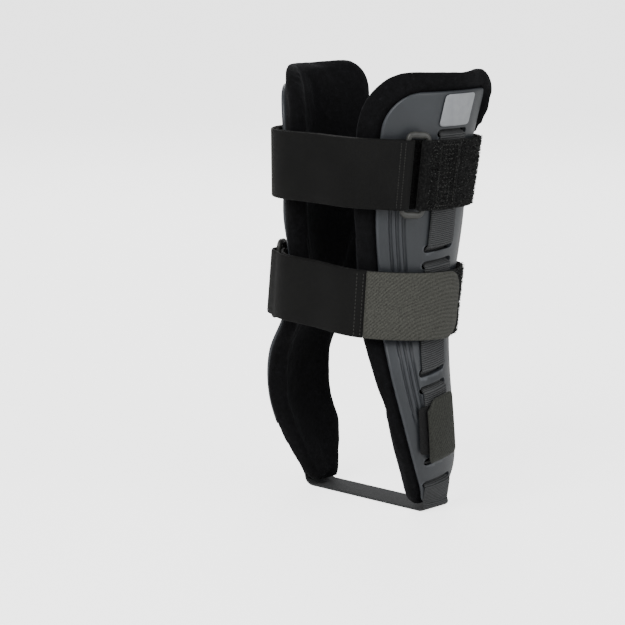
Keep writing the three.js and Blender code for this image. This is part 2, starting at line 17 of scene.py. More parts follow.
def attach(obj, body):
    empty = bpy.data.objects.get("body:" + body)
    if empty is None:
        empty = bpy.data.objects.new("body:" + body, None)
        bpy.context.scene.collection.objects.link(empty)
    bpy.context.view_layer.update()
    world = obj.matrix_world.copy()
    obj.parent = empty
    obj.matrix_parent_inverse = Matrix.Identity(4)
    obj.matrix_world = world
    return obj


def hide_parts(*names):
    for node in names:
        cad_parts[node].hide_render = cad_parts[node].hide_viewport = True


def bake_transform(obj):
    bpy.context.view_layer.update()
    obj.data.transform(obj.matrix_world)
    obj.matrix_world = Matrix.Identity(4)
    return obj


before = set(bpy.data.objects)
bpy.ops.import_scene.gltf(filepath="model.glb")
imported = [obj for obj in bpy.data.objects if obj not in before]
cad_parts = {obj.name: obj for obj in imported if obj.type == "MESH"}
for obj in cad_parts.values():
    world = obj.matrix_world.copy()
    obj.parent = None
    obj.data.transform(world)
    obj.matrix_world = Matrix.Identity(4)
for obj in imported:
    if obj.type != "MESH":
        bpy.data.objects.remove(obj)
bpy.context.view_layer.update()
MM = 0.001

# ---------------------------------------------------------------- driving dimensions

# Horizontal sections of the shells' outer surface, each an ellipse:
# height, half width in X, half depth in Y, centre in Y.
SECTIONS = [
    [0, 39, 36, 0],
    [16, 44.5, 40, -3.6],
    [30, 49, 41, -8.3],
    [50, 52, 41, -13.4],
    [75, 50, 40.4, -14.2],
    [95, 43.8, 40, -8.5],
    [112, 41.8, 40.7, -4.6],
    [127, 43, 43, -3.3],
    [147, 45.5, 45.5, -3.3],
    [172, 46, 46.5, -1.3],
    [192, 48.5, 49.5, 1.2],
    [222, 53, 55, 6.2],
]

# How far a shell reaches round the leg from its middle line: height, to the front, to the rear.
REACH = [
    [4, 8.6, 9.5],
    [10, 10, 11.5],
    [16, 12.1, 14.5],
    [22, 14.5, 19.5],
    [35, 18.5, 25.5],
    [66, 25, 26.7],
    [88, 28.3, 26.5],
    [117, 32, 27.1],
    [147, 37, 28.6],
    [172, 38, 27.7],
    [190, 40, 26.4],
    [222, 43.5, 24],
]

SHELL_BOTTOM, SHELL_TOP, SHELL_WALL = 4, 211.5, 2.6
SHELL_FRONT_CORNER, SHELL_REAR_CORNER, SHELL_TOE, SHELL_LEAST_WIDTH = 19, 5, 4, 0.8
LINER_BOTTOM, LINER_TOP, LINER_GAP = 2.6, 222, 0.6
LINER_FRONT_CORNER, LINER_REAR_CORNER, LINER_TOE, LINER_TOE_AT_REAR = 26, 15, 9, 0.4
LINER_PAST_FRONT = [[0, 8], [60, 9.5], [107, 11], [157, 12.5]]
LINER_PAST_REAR = [[0, 1.4], [34, 2.4], [50, 1.4], [168, 1.6], [186, 4.4], [200, 8], [222, 8.4]]

SLOT_LENGTH, SLOT_HEIGHT = 21.4, 3.9
SLOT_A, SLOT_B, SLOT_C, SLOT_D, SLOT_E, SLOT_F, SLOT_G = 191, 134.7, 126.6, 75.4, 67.2, 30, 16.5
SLOT_TILT, SLOT_TILT_FROM, SLOT_TILT_FULL = math.radians(12), 4, 24
SLOT_CUT_FROM, SLOT_CUT_TO = -7.0, 4.0

WEBBING_WIDTH, WEBBING_THICKNESS, WEBBING_GAP = 18, 1.2, 0.45
WEBBING_START, WEBBING_END = 202, 35
HEEL_WIDTH, HEEL_BEND, HEEL_SPLIT = 19, 6, 0.5
HEEL_TAB_TOP, HEEL_TAB_OFF = 63, 3.7
PATCH_BOTTOM, PATCH_TOP, PATCH_FRONT, PATCH_REAR, PATCH_OFF = 35, 60, -14, 8.5, 1.9

STRAP_THICKNESS, STRAP_INNER, STRAP_OUTER = 1.4, 2.75, 5.1
UPPER = {"name": "upper", "height": 171.3, "tilt": -0.4, "lift": 2.3, "width": 34, "side": 1}
LOWER = {"name": "lower", "height": 108.8, "tilt": -2.5, "lift": 2.2, "width": 32.5, "side": -1}
GAPS = [{"middle": -90, "half": 40, "depth": 6.5}, {"middle": 90, "half": 50, "depth": 10}]
RING_REAR_BAR, RING_BARS, RING_ROD, RING_CLEARANCE = -21, 10.6, 2.6, 0.6
RING_MARGIN, RING_CORNER, RING_END_WIDER = 1.2, 2.6, 0.3
LOOP_END, SEAM, TAB_END, TAB_CORNER = 20, -52, 17, 9
FALL_FROM, FALL_TO, ANCHOR_LEAD = 1.5, 14, 2

BODY = {1: "lateral_side", -1: "medial_side"}
SIDE = {1: "lateral", -1: "medial"}

# ---------------------------------------------------------------- surface of the brace


def follow(table, x, column=1):
    """Cubic curve through a table's rows, level beyond its ends."""
    keys, values = np.array(table, float)[:, [0, column]].T
    x = np.clip(x, keys[0], keys[-1])
    count = len(keys)
    i = np.clip(np.searchsorted(keys, x) - 1, 0, count - 2)
    before, after = np.maximum(np.arange(count) - 1, 0), np.minimum(np.arange(count) + 1, count - 1)
    slope = (values[after] - values[before]) / (keys[after] - keys[before])
    span, rise = keys[i + 1] - keys[i], values[i + 1] - values[i]
    t = (x - keys[i]) / span
    bend_a, bend_b = slope[i] * span - rise, rise - slope[i + 1] * span
    return values[i] + rise * t + t * (1 - t) * (bend_a * (1 - t) + bend_b * t)


def radius_at(z):
    return (follow(SECTIONS, z, 1) + follow(SECTIONS, z, 2)) / 2


def on_leg(side, angle, z, off):
    """Points by angle from a side's middle line (negative to the front), height, and distance out."""
    angle, z, off = np.broadcast_arrays(*[np.asarray(v, float) for v in (angle, z, off)])
    half_x, half_y = follow(SECTIONS, z, 1), follow(SECTIONS, z, 2)
    nx, ny = np.cos(angle) / half_x, np.sin(angle) / half_y
    length = np.hypot(nx, ny)
    x = half_x * np.cos(angle) + off * nx / length
    y = follow(SECTIONS, z, 3) + half_y * np.sin(angle) + off * ny / length
    return np.stack([side * x, y, z], axis=-1)


def on_side(side, s, z, off):
    """The same by arc length from the middle line, positive to the rear."""
    return on_leg(side, s / radius_at(z), z, off)


def smoothstep(x, low, high):
    t = np.clip((x - low) / (high - low), 0, 1)
    return t * t * (3 - 2 * t)


def on_leaning(side, s, z, off):
    """Slots and the webbing in them lean forward and down, most at the ankle, and level at the sole."""
    lean = SLOT_TILT * (1 - z / SLOT_A) * smoothstep(z, SLOT_TILT_FROM, SLOT_TILT_FULL)
    return on_side(side, s, z + s * np.tan(lean), off)


def corner_inset(distance, radius):
    """How much a rounded corner takes off an edge, at a distance from the end it turns into."""
    rest = radius - np.clip(distance, 0, radius)
    return radius - np.sqrt(radius * radius - rest * rest)


def shell_edges(z):
    ends = corner_inset(z - SHELL_BOTTOM, SHELL_TOE)
    front = -follow(REACH, z, 1) + ends + corner_inset(SHELL_TOP - z, SHELL_FRONT_CORNER)
    rear = follow(REACH, z, 2) - ends - corner_inset(SHELL_TOP - z, SHELL_REAR_CORNER)
    return front, np.maximum(rear, front + SHELL_LEAST_WIDTH)


def liner_edges(z):
    ends = corner_inset(z - LINER_BOTTOM, LINER_TOE)
    front_reach = follow(REACH, z, 1) + follow(LINER_PAST_FRONT, z)
    rear_reach = follow(REACH, z, 2) + follow(LINER_PAST_REAR, z)
    front = -front_reach + ends + corner_inset(LINER_TOP - z, LINER_FRONT_CORNER)
    rear = rear_reach - LINER_TOE_AT_REAR * ends - corner_inset(LINER_TOP - z, LINER_REAR_CORNER)
    return front, rear


# ---------------------------------------------------------------- meshes


def in_scene(name, data):
    made = bpy.data.objects.new(name, data)
    bpy.context.scene.collection.objects.link(made)
    return made


def add_mesh(name, points, faces, surface, uv=None, smooth=True):
    """A mesh object from points in millimetres; uv holds a pair per point, in millimetres too."""
    data = bpy.data.meshes.new(name)
    data.from_pydata([tuple(p) for p in np.asarray(points) * MM], [], [list(map(int, f)) for f in faces])
    if uv is not None:
        layer = data.uv_layers.new(name="UVMap")
        loops = np.zeros(len(data.loops), np.int32)
        data.loops.foreach_get("vertex_index", loops)
        layer.data.foreach_set("uv", np.asarray(uv, np.float32)[loops].ravel())
    data.polygons.foreach_set("use_smooth", [smooth] * len(data.polygons))
    data.materials.append(surface)
    made = in_scene(name, data)
    face_outwards(made)
    return made


def face_outwards(made):
    bm = bmesh.new()
    bm.from_mesh(made.data)
    if bm.calc_volume(signed=True) < 0:
        bmesh.ops.reverse_faces(bm, faces=bm.faces)
    bm.to_mesh(made.data)
    bm.free()


def tube_faces(rings, around, closed_ends=(True, True)):
    """Quads of a tube of rings, with a flat face over each closed end."""
    faces = []
    for i in range(rings - 1):
        for k in range(around):
            n = (k + 1) % around
            faces.append([i * around + k, i * around + n, (i + 1) * around + n, (i + 1) * around + k])
    if closed_ends[0]:
        faces.append(list(range(around))[::-1])
    if closed_ends[1]:
        faces.append([(rings - 1) * around + k for k in range(around)])
    return faces


def edge_arc(radius, steps=3):
    """Points round a band's rounded edge: [distance out past the straight part, height off the middle]."""
    turns = np.linspace(math.pi / 2, -math.pi / 2, steps + 2)
    return np.stack([radius * np.cos(turns), radius * np.sin(turns)], axis=1)


SOFT_END = 0.45


def rounded_section(radius, cells):
    """A band's outline, as rows of share of the width, distance past its end, and height."""
    arcs = edge_arc(radius)
    shares = np.linspace(0, 1, cells + 1)
    section = [(t, 0.0, radius) for t in shares] + [(1, out, h) for out, h in arcs[1:-1]]
    section += [(t, 0.0, -radius) for t in shares[::-1]] + [(0, -out, h) for out, h in arcs[::-1][1:-1]]
    return np.array(section)


def run_along(points):
    """Distance along a line of points, at each of them."""
    return np.concatenate([[0], np.cumsum(np.linalg.norm(np.diff(points, axis=0), axis=1))])


def normals_2d(path):
    ahead = np.gradient(path, axis=0)
    normal = np.stack([-ahead[:, 1], ahead[:, 0]], axis=1)
    return normal / np.linalg.norm(normal, axis=1, keepdims=True)


def band(name, path, across, thickness, place, surface, cells=6, soft_ends=(True, True)):
    """A strap of rounded section along a path of [along, off] points.

    across gives the two edges at each point of the path; place maps along, across and off to space.
    """
    path = np.asarray(path, float)
    radius = thickness / 2
    front, rear = across(path[:, 0])
    front, rear = front + 0 * path[:, 0], rear + 0 * path[:, 0]
    normal = normals_2d(path)
    section = rounded_section(radius, cells)
    thin = np.ones(len(path))
    for end, soft in zip((0, -1), soft_ends):
        if soft:
            thin[end] = SOFT_END
    inner_front, inner_rear = front + radius, rear - radius
    v = inner_front[:, None] + (inner_rear - inner_front)[:, None] * section[None, :, 0] + section[None, :, 1]
    h = section[None, :, 2] * thin[:, None]
    along = path[:, :1] + normal[:, :1] * h
    off = path[:, 1:] + normal[:, 1:] * h
    points = place(along, v, off)
    uv = np.stack([np.broadcast_to(run_along(path)[:, None], v.shape), v], axis=-1)
    faces = tube_faces(len(path), len(section), soft_ends)
    return add_mesh(name, points.reshape(-1, 3), faces, surface, uv.reshape(-1, 2))


def mirrored(made, name):
    """A copy on the medial side."""
    copy = made.copy()
    copy.data = made.data.copy()
    copy.name = name
    copy.data.name = name
    bpy.context.scene.collection.objects.link(copy)
    copy.data.transform(Matrix.Diagonal((-1, 1, 1, 1)))
    copy.data.flip_normals()
    return copy


def stands_for(piece, slot, *nodes):
    """Hides the CAD nodes that a piece replaces, if any; the piece and the slot of its finish are not used.
    """
    if nodes:
        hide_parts(*nodes)


def on_both_sides(lateral, medial_name, slot, node, body="{}_side"):
    """Rides a lateral piece and its mirror image on their bodies, each in place of its side's node."""
    for side, piece in ((1, lateral), (-1, mirrored(lateral, medial_name))):
        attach(piece, body.format(SIDE[side]))
        stands_for(piece, slot, node.format(SIDE[side]))


def shifted(faces, base):
    return [[base + k for k in face] for face in faces]


def loop_faces(rings, around):
    """Quads of a tube whose last ring joins its first."""
    faces = []
    for k in range(rings):
        for j in range(around):
            n, m = (k + 1) % rings, (j + 1) % around
            faces.append([k * around + j, n * around + j, n * around + m, k * around + m])
    return faces


def modify(made, kind, **settings):
    change = made.modifiers.new(kind.lower(), kind)
    for key, value in settings.items():
        setattr(change, key, value)
    return change


def apply_modifiers(made):
    graph = bpy.context.evaluated_depsgraph_get()
    data = bpy.data.meshes.new_from_object(made.evaluated_get(graph), depsgraph=graph)
    made.modifiers.clear()
    made.data = data


def shade_smooth(made):
    made.data.polygons.foreach_set("use_smooth", [True] * len(made.data.polygons))


def join(name, objects):
    with bpy.context.temp_override(active_object=objects[0], selected_editable_objects=objects):
        bpy.ops.object.join()
    objects[0].name = name
    return objects[0]


# ---------------------------------------------------------------- materials


def srgb(red, green, blue):
    def linear(value):
        share = value / 255
        return share / 12.92 if share <= 0.04045 else ((share + 0.055) / 1.055) ** 2.4

    return (linear(red), linear(green), linear(blue), 1)


class Look:
    """A procedural material: its node tree, with short ways to add nodes."""

    def __init__(self, name, roughness, sheen=0.0, sheen_roughness=0.5, specular=0.5):
        self.material = bpy.data.materials.new(name)
        self.material.use_nodes = True
        self.tree = self.material.node_tree
        self.shader = self.tree.nodes["Principled BSDF"]
        self.put(self.shader, "Roughness", roughness)
        self.put(self.shader, "Sheen Weight", sheen)
        self.put(self.shader, "Sheen Roughness", sheen_roughness)
        self.put(self.shader, "Specular IOR Level", specular)

    def put(self, made, socket, value):
        socket = made.inputs[socket]
        if isinstance(value, bpy.types.NodeSocket):
            self.tree.links.new(value, socket)
        else:
            socket.default_value = value

    def node(self, kind, inputs=None, out=0, **settings):
        made = self.tree.nodes.new(kind)
        for key, value in settings.items():
            setattr(made, key, value)
        for socket, value in (inputs or {}).items():
            self.put(made, socket, value)
        return made.outputs[out]

    def math(self, operation, a, b=0.0):
        return self.node("ShaderNodeMath", {0: a, 1: b}, operation=operation)

    def times(self, a, b):
        return self.math("MULTIPLY", a, b)

    def plus(self, a, b):
        return self.math("ADD", a, b)

    def place(self):
        """Position on the object, in metres."""
        return self.node("ShaderNodeTexCoord", out="Object")

    def uv(self):
        """Length along a band and distance across it, in millimetres."""
        parts = self.tree.nodes.new("ShaderNodeSeparateXYZ")
        self.put(parts, 0, self.node("ShaderNodeTexCoord", out="UV"))
        return parts.outputs[0], parts.outputs[1]

    def noise(self, scale, detail=3.0, roughness=0.55, vector=None):
        inputs = {"Scale": scale, "Detail": detail, "Roughness": roughness}
        inputs["Vector"] = vector or self.place()
        return self.node("ShaderNodeTexNoise", inputs)

    def wave(self, value, period):
        """0 to 1 and back once in each period."""
        turn = self.times(value, 2 * math.pi / period)
        return self.math("MULTIPLY_ADD", self.math("SINE", turn), 0.5)

    def half_wave(self, value, period):
        turn = self.times(value, math.pi / period)
        return self.math("ABSOLUTE", self.math("SINE", turn))

    def ramp(self, value, stops):
        made = self.tree.nodes.new("ShaderNodeValToRGB")
        self.put(made, 0, value)
        band_of = made.color_ramp
        while len(band_of.elements) < len(stops):
            band_of.elements.new(0.5)
        for element, (position, colour) in zip(band_of.elements, stops):
            element.position = position
            element.color = colour
        return made.outputs[0]

    def colour(self, value):
        self.put(self.shader, "Base Color", value)

    def tones(self, value, *stops):
        """Colour by value; each stop is a position and three sRGB values."""
        self.colour(self.ramp(value, [(at, srgb(*tone)) for at, *tone in stops]))

    def relief(self, height, depth_mm, strength=1.0):
        """Bump whose full height is depth_mm; a second call adds to the first."""
        made = self.tree.nodes.new("ShaderNodeBump")
        self.put(made, "Height", height)
        made.inputs["Distance"].default_value = depth_mm * MM
        made.inputs["Strength"].default_value = strength
        earlier = self.shader.inputs["Normal"].links
        if earlier:
            self.tree.links.new(earlier[0].from_socket, made.inputs["Normal"])
        self.tree.links.new(made.outputs[0], self.shader.inputs["Normal"])


def shell_look():
    """Satin moulded plastic: fine texture, slow changes of tone, and a painted highlight that makes the edges
    a little lighter.
    """
    look = Look("shell_plastic", 0.4)
    tone = look.noise(28, 3)
    base = look.ramp(tone, [(0.3, srgb(39, 42, 46)), (0.7, srgb(48, 51, 55))])
    # Painted highlight: patches along the convex edges are lightened towards srgb(84, 87, 92).
    edge = look.node("ShaderNodeNewGeometry", out="Pointiness")
    edges_only = look.ramp(edge, [(0.52, (0, 0, 0, 1)), (0.58, (1, 1, 1, 1))])
    painted_edge_highlight = look.times(edges_only, look.noise(260))
    mixed = look.node(
        "ShaderNodeMix", {"Factor": painted_edge_highlight, "A": base, "B": srgb(84, 87, 92)}, out=2, data_type="RGBA"
    )
    look.colour(mixed)
    look.put(look.shader, "Roughness", look.node("ShaderNodeMapRange", {0: look.noise(90), 3: 0.34, 4: 0.5}))
    look.relief(look.noise(2600, 2), 0.05)
    look.relief(look.noise(60, 2), 0.12, 0.6)
    return look.material


def velour_look():
    """Brushed knit over foam: near black, with a soft halo and small lighter specks of lint."""
    look = Look("liner_velour", 0.95, 0.12, 0.35, 0.15)
    tone = look.noise(420, 4, 0.7)
    look.tones(tone, (0.35, 7, 7, 8), (0.62, 14, 14, 16), (0.8, 30, 30, 33))
    look.put(look.shader, "Sheen Tint", srgb(120, 124, 132))
    look.relief(look.noise(2200, 3, 0.7), 0.3)
    look.relief(look.noise(240, 3), 0.5, 0.7)
    return look.material


def grosgrain_look(name, dark, light, pitch=1.15, depth=0.28):
    """Ribbed webbing: ribs across its width, each wound with fine thread."""
    look = Look(name, 0.78, 0.04, 0.4, 0.25)
    along, across = look.uv()
    wander = look.times(look.math("SUBTRACT", look.noise(180, 2), 0.5), 0.5)
    rib = look.half_wave(look.plus(along, wander), pitch)
    thread = look.half_wave(across, 0.42)
    height = look.plus(look.times(rib, 0.8), look.times(thread, 0.2))
    fleck = look.times(look.noise(900, 2), 0.35)
    # Painted light and shade: the rib crests are lighter and the grooves between them darker; the flecks are
    # random tone.
    tone = look.plus(look.times(height, 0.75), fleck)
    look.tones(tone, (0.2, *dark), (0.85, *light))
    look.relief(height, depth)
    return look.material


def smooth_strap_look(name, dark, light):
    """Close woven strap with a fine diagonal twill."""
    look = Look(name, 0.72, 0.03, 0.35, 0.18)
    along, across = look.uv()
    twill = look.wave(look.plus(along, look.times(across, 0.8)), 0.62)
    pick = look.half_wave(across, 0.5)
    height = look.plus(look.times(twill, 0.6), look.times(pick, 0.4))
    patchy = look.times(look.noise(60, 3), 0.55)
    tone = look.plus(look.times(height, 0.5), patchy)
    look.tones(tone, (0.25, *dark), (0.85, *light))
    look.relief(height, 0.1)
    look.relief(look.noise(1500, 3), 0.12, 0.8)
    return look.material


TAB_BOW_MIDDLE, TAB_BOW = 44.0, 0.014


def tab_look(name, dark, light, ridge_depth):
    """Napped tab fabric, with bowed ridges pressed up by the hooks behind it."""
    look = Look(name, 0.8, 0.06, 0.4, 0.2)
    along, across = look.uv()
    from_middle = look.math("ABSOLUTE", look.math("SUBTRACT", along, TAB_BOW_MIDDLE))
    bow = look.times(look.math("POWER", from_middle, 2.0), TAB_BOW)
    drift = look.times(look.noise(38, 2), 7.0)
    ridge = look.wave(look.plus(look.plus(across, bow), drift), 1.9)
    pick = look.half_wave(along, 0.55)
    nap = look.noise(1400, 3, 0.65)
    # Painted light: the ridge crests are a little lighter; the nap's speckle is random tone.
    tone = look.plus(look.times(ridge, 0.13), look.times(nap, 0.92))
    look.tones(tone, (0.25, *dark), (0.85, *light))
    look.relief(ridge, ridge_depth)
    look.relief(pick, 0.07)
    look.relief(nap, 0.12)
    return look.material


def pile_look():
    """Loop pile ground: a rough dark knit under the standing loops."""
    look = Look("loop_pile", 1.0, 0.03, 0.4, 0.1)
    tone = look.noise(1100, 4, 0.75)
    look.tones(tone, (0.3, 5, 5, 6), (0.5, 20, 20, 20), (0.75, 48, 49, 48))
    look.relief(tone, 0.6)
    return look.material


def fibre_look():
    """The standing loops of the pile, dark with some grey ones."""
    look = Look("pile_fibre", 0.7, 0.0, 0.4, 0.2)
    one = look.node("ShaderNodeNewGeometry", out="Random Per Island")
    look.tones(one, (0.0, 10, 10, 10), (0.45, 26, 26, 26), (0.8, 52, 53, 52), (1.0, 86, 87, 85))
    return look.material


def hook_look():
    """Hook tape: rows of small stiff hooks."""
    look = Look("hook_tape", 0.6, specular=0.25)
    spots = look.node("ShaderNodeTexVoronoi", {"Vector": look.place(), "Scale": 1500.0, "Randomness": 0.35})
    look.tones(spots, (0.1, 26, 26, 26), (0.5, 6, 6, 7))
    look.relief(look.math("SUBTRACT", 1.0, spots), 0.35)
    return look.material


def smooth_look(name, roughness, tone_scale, dark, light, grain_scale, grain_mm):
    """A smooth surface with slow changes of tone and a fine grain."""
    look = Look(name, roughness)
    look.tones(look.noise(tone_scale, 3), dark, light)
    look.relief(look.noise(grain_scale, 2), grain_mm)
    return look.material


def thread_look():
    look = Look("stitch_thread", 0.6, 0.05, 0.4, 0.3)
    along, _ = look.uv()
    ply = look.half_wave(along, 0.35)
    look.tones(look.noise(500, 2), (0.3, 26, 26, 25), (0.7, 58, 58, 55))
    look.relief(ply, 0.06)
    return look.material


SHELL_LOOK = shell_look()
VELOUR = velour_look()
GROSGRAIN = grosgrain_look("webbing_grosgrain", (8, 8, 9), (70, 71, 72), 1.0, 0.3)
STRAP_LOOK = smooth_strap_look("strap_smooth", (4, 4, 4), (17, 17, 16))
TAB_LOOK = tab_look("tab_fabric", (36, 36, 33), (88, 88, 82), 0.08)
HEEL_TAB_LOOK = tab_look("heel_tab_fabric", (26, 27, 24), (66, 67, 62), 0.04)
PILE = pile_look()
FIBRE = fibre_look()
HOOKS = hook_look()
RING_LOOK = smooth_look("ring_plastic", 0.42, 150, (0.3, 44, 44, 42), (0.75, 62, 62, 59), 1800, 0.05)
THREAD = thread_look()
LABEL_LOOK = smooth_look("label_vinyl", 0.5, 200, (0.3, 138, 140, 144), (0.7, 150, 152, 155), 1900, 0.04)

# ---------------------------------------------------------------- shells

GROOVES = [{"in": 7.2, "end": 52}, {"in": 10.6, "end": 47}, {"in": 13.9, "end": 56}]
GROOVE_TOP, GROOVE_DEPTH, GROOVE_HALF = 166, 1.15, 0.8
GROOVE_ZONE, GROOVE_FADE = 19, 4


def groove_depth(inward, z):
    """Depth of the moulded grooves that run down beside the front edge."""
    depth = 0
    for groove in GROOVES:
        fade_in = smoothstep(z, groove["end"] - GROOVE_FADE, groove["end"] + 2 * GROOVE_FADE)
        fade = fade_in * (1 - smoothstep(z, GROOVE_TOP - GROOVE_FADE, GROOVE_TOP))
        depth = depth + fade * np.exp(-(((inward - groove["in"]) / GROOVE_HALF) ** 4))
    return GROOVE_DEPTH * depth


SHELL_ROWS, SHELL_FRONT_CELLS, SHELL_REAR_CELLS = 168, 48, 26
SHELL_ROLL_START, SHELL_ROLL_STEPS = 0.12, 5


def shell_mesh():
    """The lateral shell: a curved wall with rounded edges and moulded grooves."""
    radius = SHELL_WALL / 2
    roll = np.linspace(SHELL_ROLL_START, math.pi / 2, SHELL_ROLL_STEPS)[:-1]
    low = SHELL_BOTTOM + radius * (1 - np.sin(math.pi / 2 - roll))
    straight = np.linspace(SHELL_BOTTOM + radius, SHELL_TOP - radius, SHELL_ROWS)
    heights = np.concatenate([low, straight, (SHELL_TOP + SHELL_BOTTOM) - low[::-1]])
    thin = np.concatenate([np.sin(roll), np.ones(SHELL_ROWS), np.sin(roll)[::-1]])
    front, rear = shell_edges(heights)
    front, rear = front + radius, rear - radius
    width = np.maximum(rear - front, 0.4)
    zone = np.minimum(GROOVE_ZONE, width * 0.7)
    near = np.linspace(0, 1, SHELL_FRONT_CELLS)
    far = np.linspace(0, 1, SHELL_REAR_CELLS)[1:]
    grooved = front[:, None] + zone[:, None] * near
    plain = (front + zone)[:, None] + (width - zone)[:, None] * far
    s = np.concatenate([grooved, plain], axis=1)
    inward = s - (front - radius)[:, None]
    drop = groove_depth(inward, np.broadcast_to(heights[:, None], s.shape))
    thin = thin[:, None]
    half = radius * thin
    arcs = edge_arc(radius)[1:-1]
    columns = [(s, half - drop)]
    columns += [(rear[:, None] + out * thin, height * thin) for out, height in arcs]
    columns.append((s[:, ::-1], -half - 0 * s))
    columns += [(front[:, None] - out * thin, height * thin) for out, height in arcs[::-1]]
    all_s = np.concatenate([c[0] for c in columns], axis=1)
    all_off = np.concatenate([c[1] + 0 * c[0] for c in columns], axis=1) - radius
    z = np.broadcast_to(heights[:, None], all_s.shape)
    points = on_side(1, all_s, z, all_off)
    faces = tube_faces(len(heights), all_s.shape[1])
    return add_mesh("lateral_shell_looks", points.reshape(-1, 3), faces, SHELL_LOOK)


def stadium(height, steps=9):
    """Outline of a slot as [s, z] points."""
    half = SLOT_HEIGHT / 2
    straight = SLOT_LENGTH / 2 - half
    turn = np.linspace(-math.pi / 2, math.pi / 2, steps)
    right = np.stack([straight + half * np.cos(turn), height + half * np.sin(turn)], axis=1)
    left = np.stack([-straight - half * np.cos(turn), height - half * np.sin(turn)], axis=1)
    return np.concatenate([right, left])


def resampled(outline, spacing):
    """A closed outline with points at an even spacing."""
    closed = np.concatenate([outline, outline[:1]])
    run = run_along(closed)
    count = max(int(run[-1] / spacing), 12)
    at = np.linspace(0, run[-1], count, endpoint=False)
    return np.stack([np.interp(at, run, closed[:, k]) for k in (0, 1)], axis=1)


def slot_cutter(heights):
    points, faces = [], []
    for height in heights:
        outline = resampled(stadium(height), 1.0)
        faces += shifted(tube_faces(2, len(outline)), sum(len(p) for p in points))
        for off in (SLOT_CUT_FROM, SLOT_CUT_TO):
            points.append(on_leaning(1, outline[:, 0], outline[:, 1], off))
    return add_mesh("slot_cutter", np.concatenate(points), faces, SHELL_LOOK)


SLOT_BEVEL, SLOT_BEVEL_ANGLE = 0.45, math.radians(50)


def cut_slots(shell):
    cutter = slot_cutter([SLOT_A, SLOT_B, SLOT_C, SLOT_D, SLOT_E, SLOT_F, SLOT_G])
    modify(shell, "BOOLEAN", object=cutter, solver="EXACT")
    edges = {"limit_method": "ANGLE", "angle_limit": SLOT_BEVEL_ANGLE}
    modify(shell, "BEVEL", width=SLOT_BEVEL * MM, segments=2, **edges)
    apply_modifiers(shell)
    bpy.data.objects.remove(cutter)
    shade_smooth(shell)


lateral_shell = shell_mesh()
cut_slots(lateral_shell)
on_both_sides(lateral_shell, "medial_shell_looks", "shell_plastic", "{}_shell")

# ---------------------------------------------------------------- liners

PAD_OUTER, PAD_THICKNESS, PAD_EDGE, PAD_ROWS, PAD_CELLS = SHELL_WALL + LINER_GAP + 0.1, 5.6, 2.4, 100, 40
PAD_VOXEL, PAD_PRESSURE, PAD_FRAMES, PAD_CAP = 2.1, 16.0, 20, 3.0
PAD_CLOTH = {
    "quality": 5,
    "mass": 0.15,
    "tension_stiffness": 18,
    "compression_stiffness": 18,
    "shear_stiffness": 12,
    "bending_stiffness": 2,
    "use_pressure": True,
    "uniform_pressure_force": PAD_PRESSURE,
    "vertex_group_mass": "held",
    "pin_stiffness": 6,
}
RIM_OUT, REAR_ROLL = 2.2, 5.2
REAR_ROLL_FROM, REAR_ROLL_FULL, REAR_ROLL_FALLS = 168, 200, 207


def pad_mesh():
    """The liner before it is inflated: a thick sheet that rolls outwards past the shell's edge."""
    radius = PAD_EDGE
    low = LINER_BOTTOM + radius * np.array([0.0, 0.3, 0.7])
    high = LINER_TOP - radius * np.array([0.7, 0.3, 0.0])
    straight = np.linspace(LINER_BOTTOM + radius + 1.2, LINER_TOP - radius - 1.2, PAD_ROWS)
    heights = np.concatenate([low, straight, high])
    thin = np.ones((len(heights), 1))
    thin[:3, 0] = thin[:-4:-1, 0] = [0.25, 0.62, 0.9]
    front, rear = liner_edges(heights)
    front, rear = front + radius, rear - radius
    s = front[:, None] + (rear - front)[:, None] * np.linspace(0, 1, PAD_CELLS)
    z = np.broadcast_to(heights[:, None], s.shape)
    shell_front, shell_rear = shell_edges(np.clip(z, SHELL_BOTTOM, SHELL_TOP))
    past_ends = np.maximum(z - SHELL_TOP, SHELL_BOTTOM - z)
    past = np.maximum(np.maximum(shell_front - s, s - shell_rear), past_ends)
    rolled = smoothstep(z, REAR_ROLL_FROM, REAR_ROLL_FULL)
    rolled = rolled * (1 - smoothstep(z, REAR_ROLL_FALLS, LINER_TOP + 3))
    roll_out = RIM_OUT + REAR_ROLL * rolled * smoothstep(s - shell_rear, -4, 2)
    rise = roll_out * smoothstep(past, 0.3, 3.5)
    middle = -PAD_OUTER - PAD_THICKNESS / 2
    half = PAD_THICKNESS / 2 * thin
    outer = middle + half + rise * thin
    inner = middle - half + 0 * s
    edge = np.array([0.75, 0.0, -0.75])

    def rounded(edge_s, way, column):
        mid, reach = (outer[:, column] + inner[:, column]) / 2, (outer[:, column] - inner[:, column]) / 2
        out = edge_s[:, None] + way * radius * np.array([0.7, 1.0, 0.7]) * thin
        return on_side(1, out, heights[:, None] + 0 * edge, mid[:, None] + way * reach[:, None] * edge)

    faces_of = [on_side(1, s, z, outer), rounded(rear, 1, -1)]
    faces_of += [on_side(1, s[:, ::-1], z, inner[:, ::-1]), rounded(front, -1, 0)]
    points = np.concatenate(faces_of, axis=1)
    faces = tube_faces(len(heights), points.shape[1])
    return add_mesh("lateral_liner_pad", points.reshape(-1, 3), faces, VELOUR)


def coordinates(made):
    flat = np.zeros(len(made.data.vertices) * 3)
    made.data.vertices.foreach_get("co", flat)
    return flat.reshape(-1, 3) / MM


def set_coordinates(made, points):
    made.data.vertices.foreach_set("co", (points * MM).astype(np.float32).ravel())
    made.data.update()


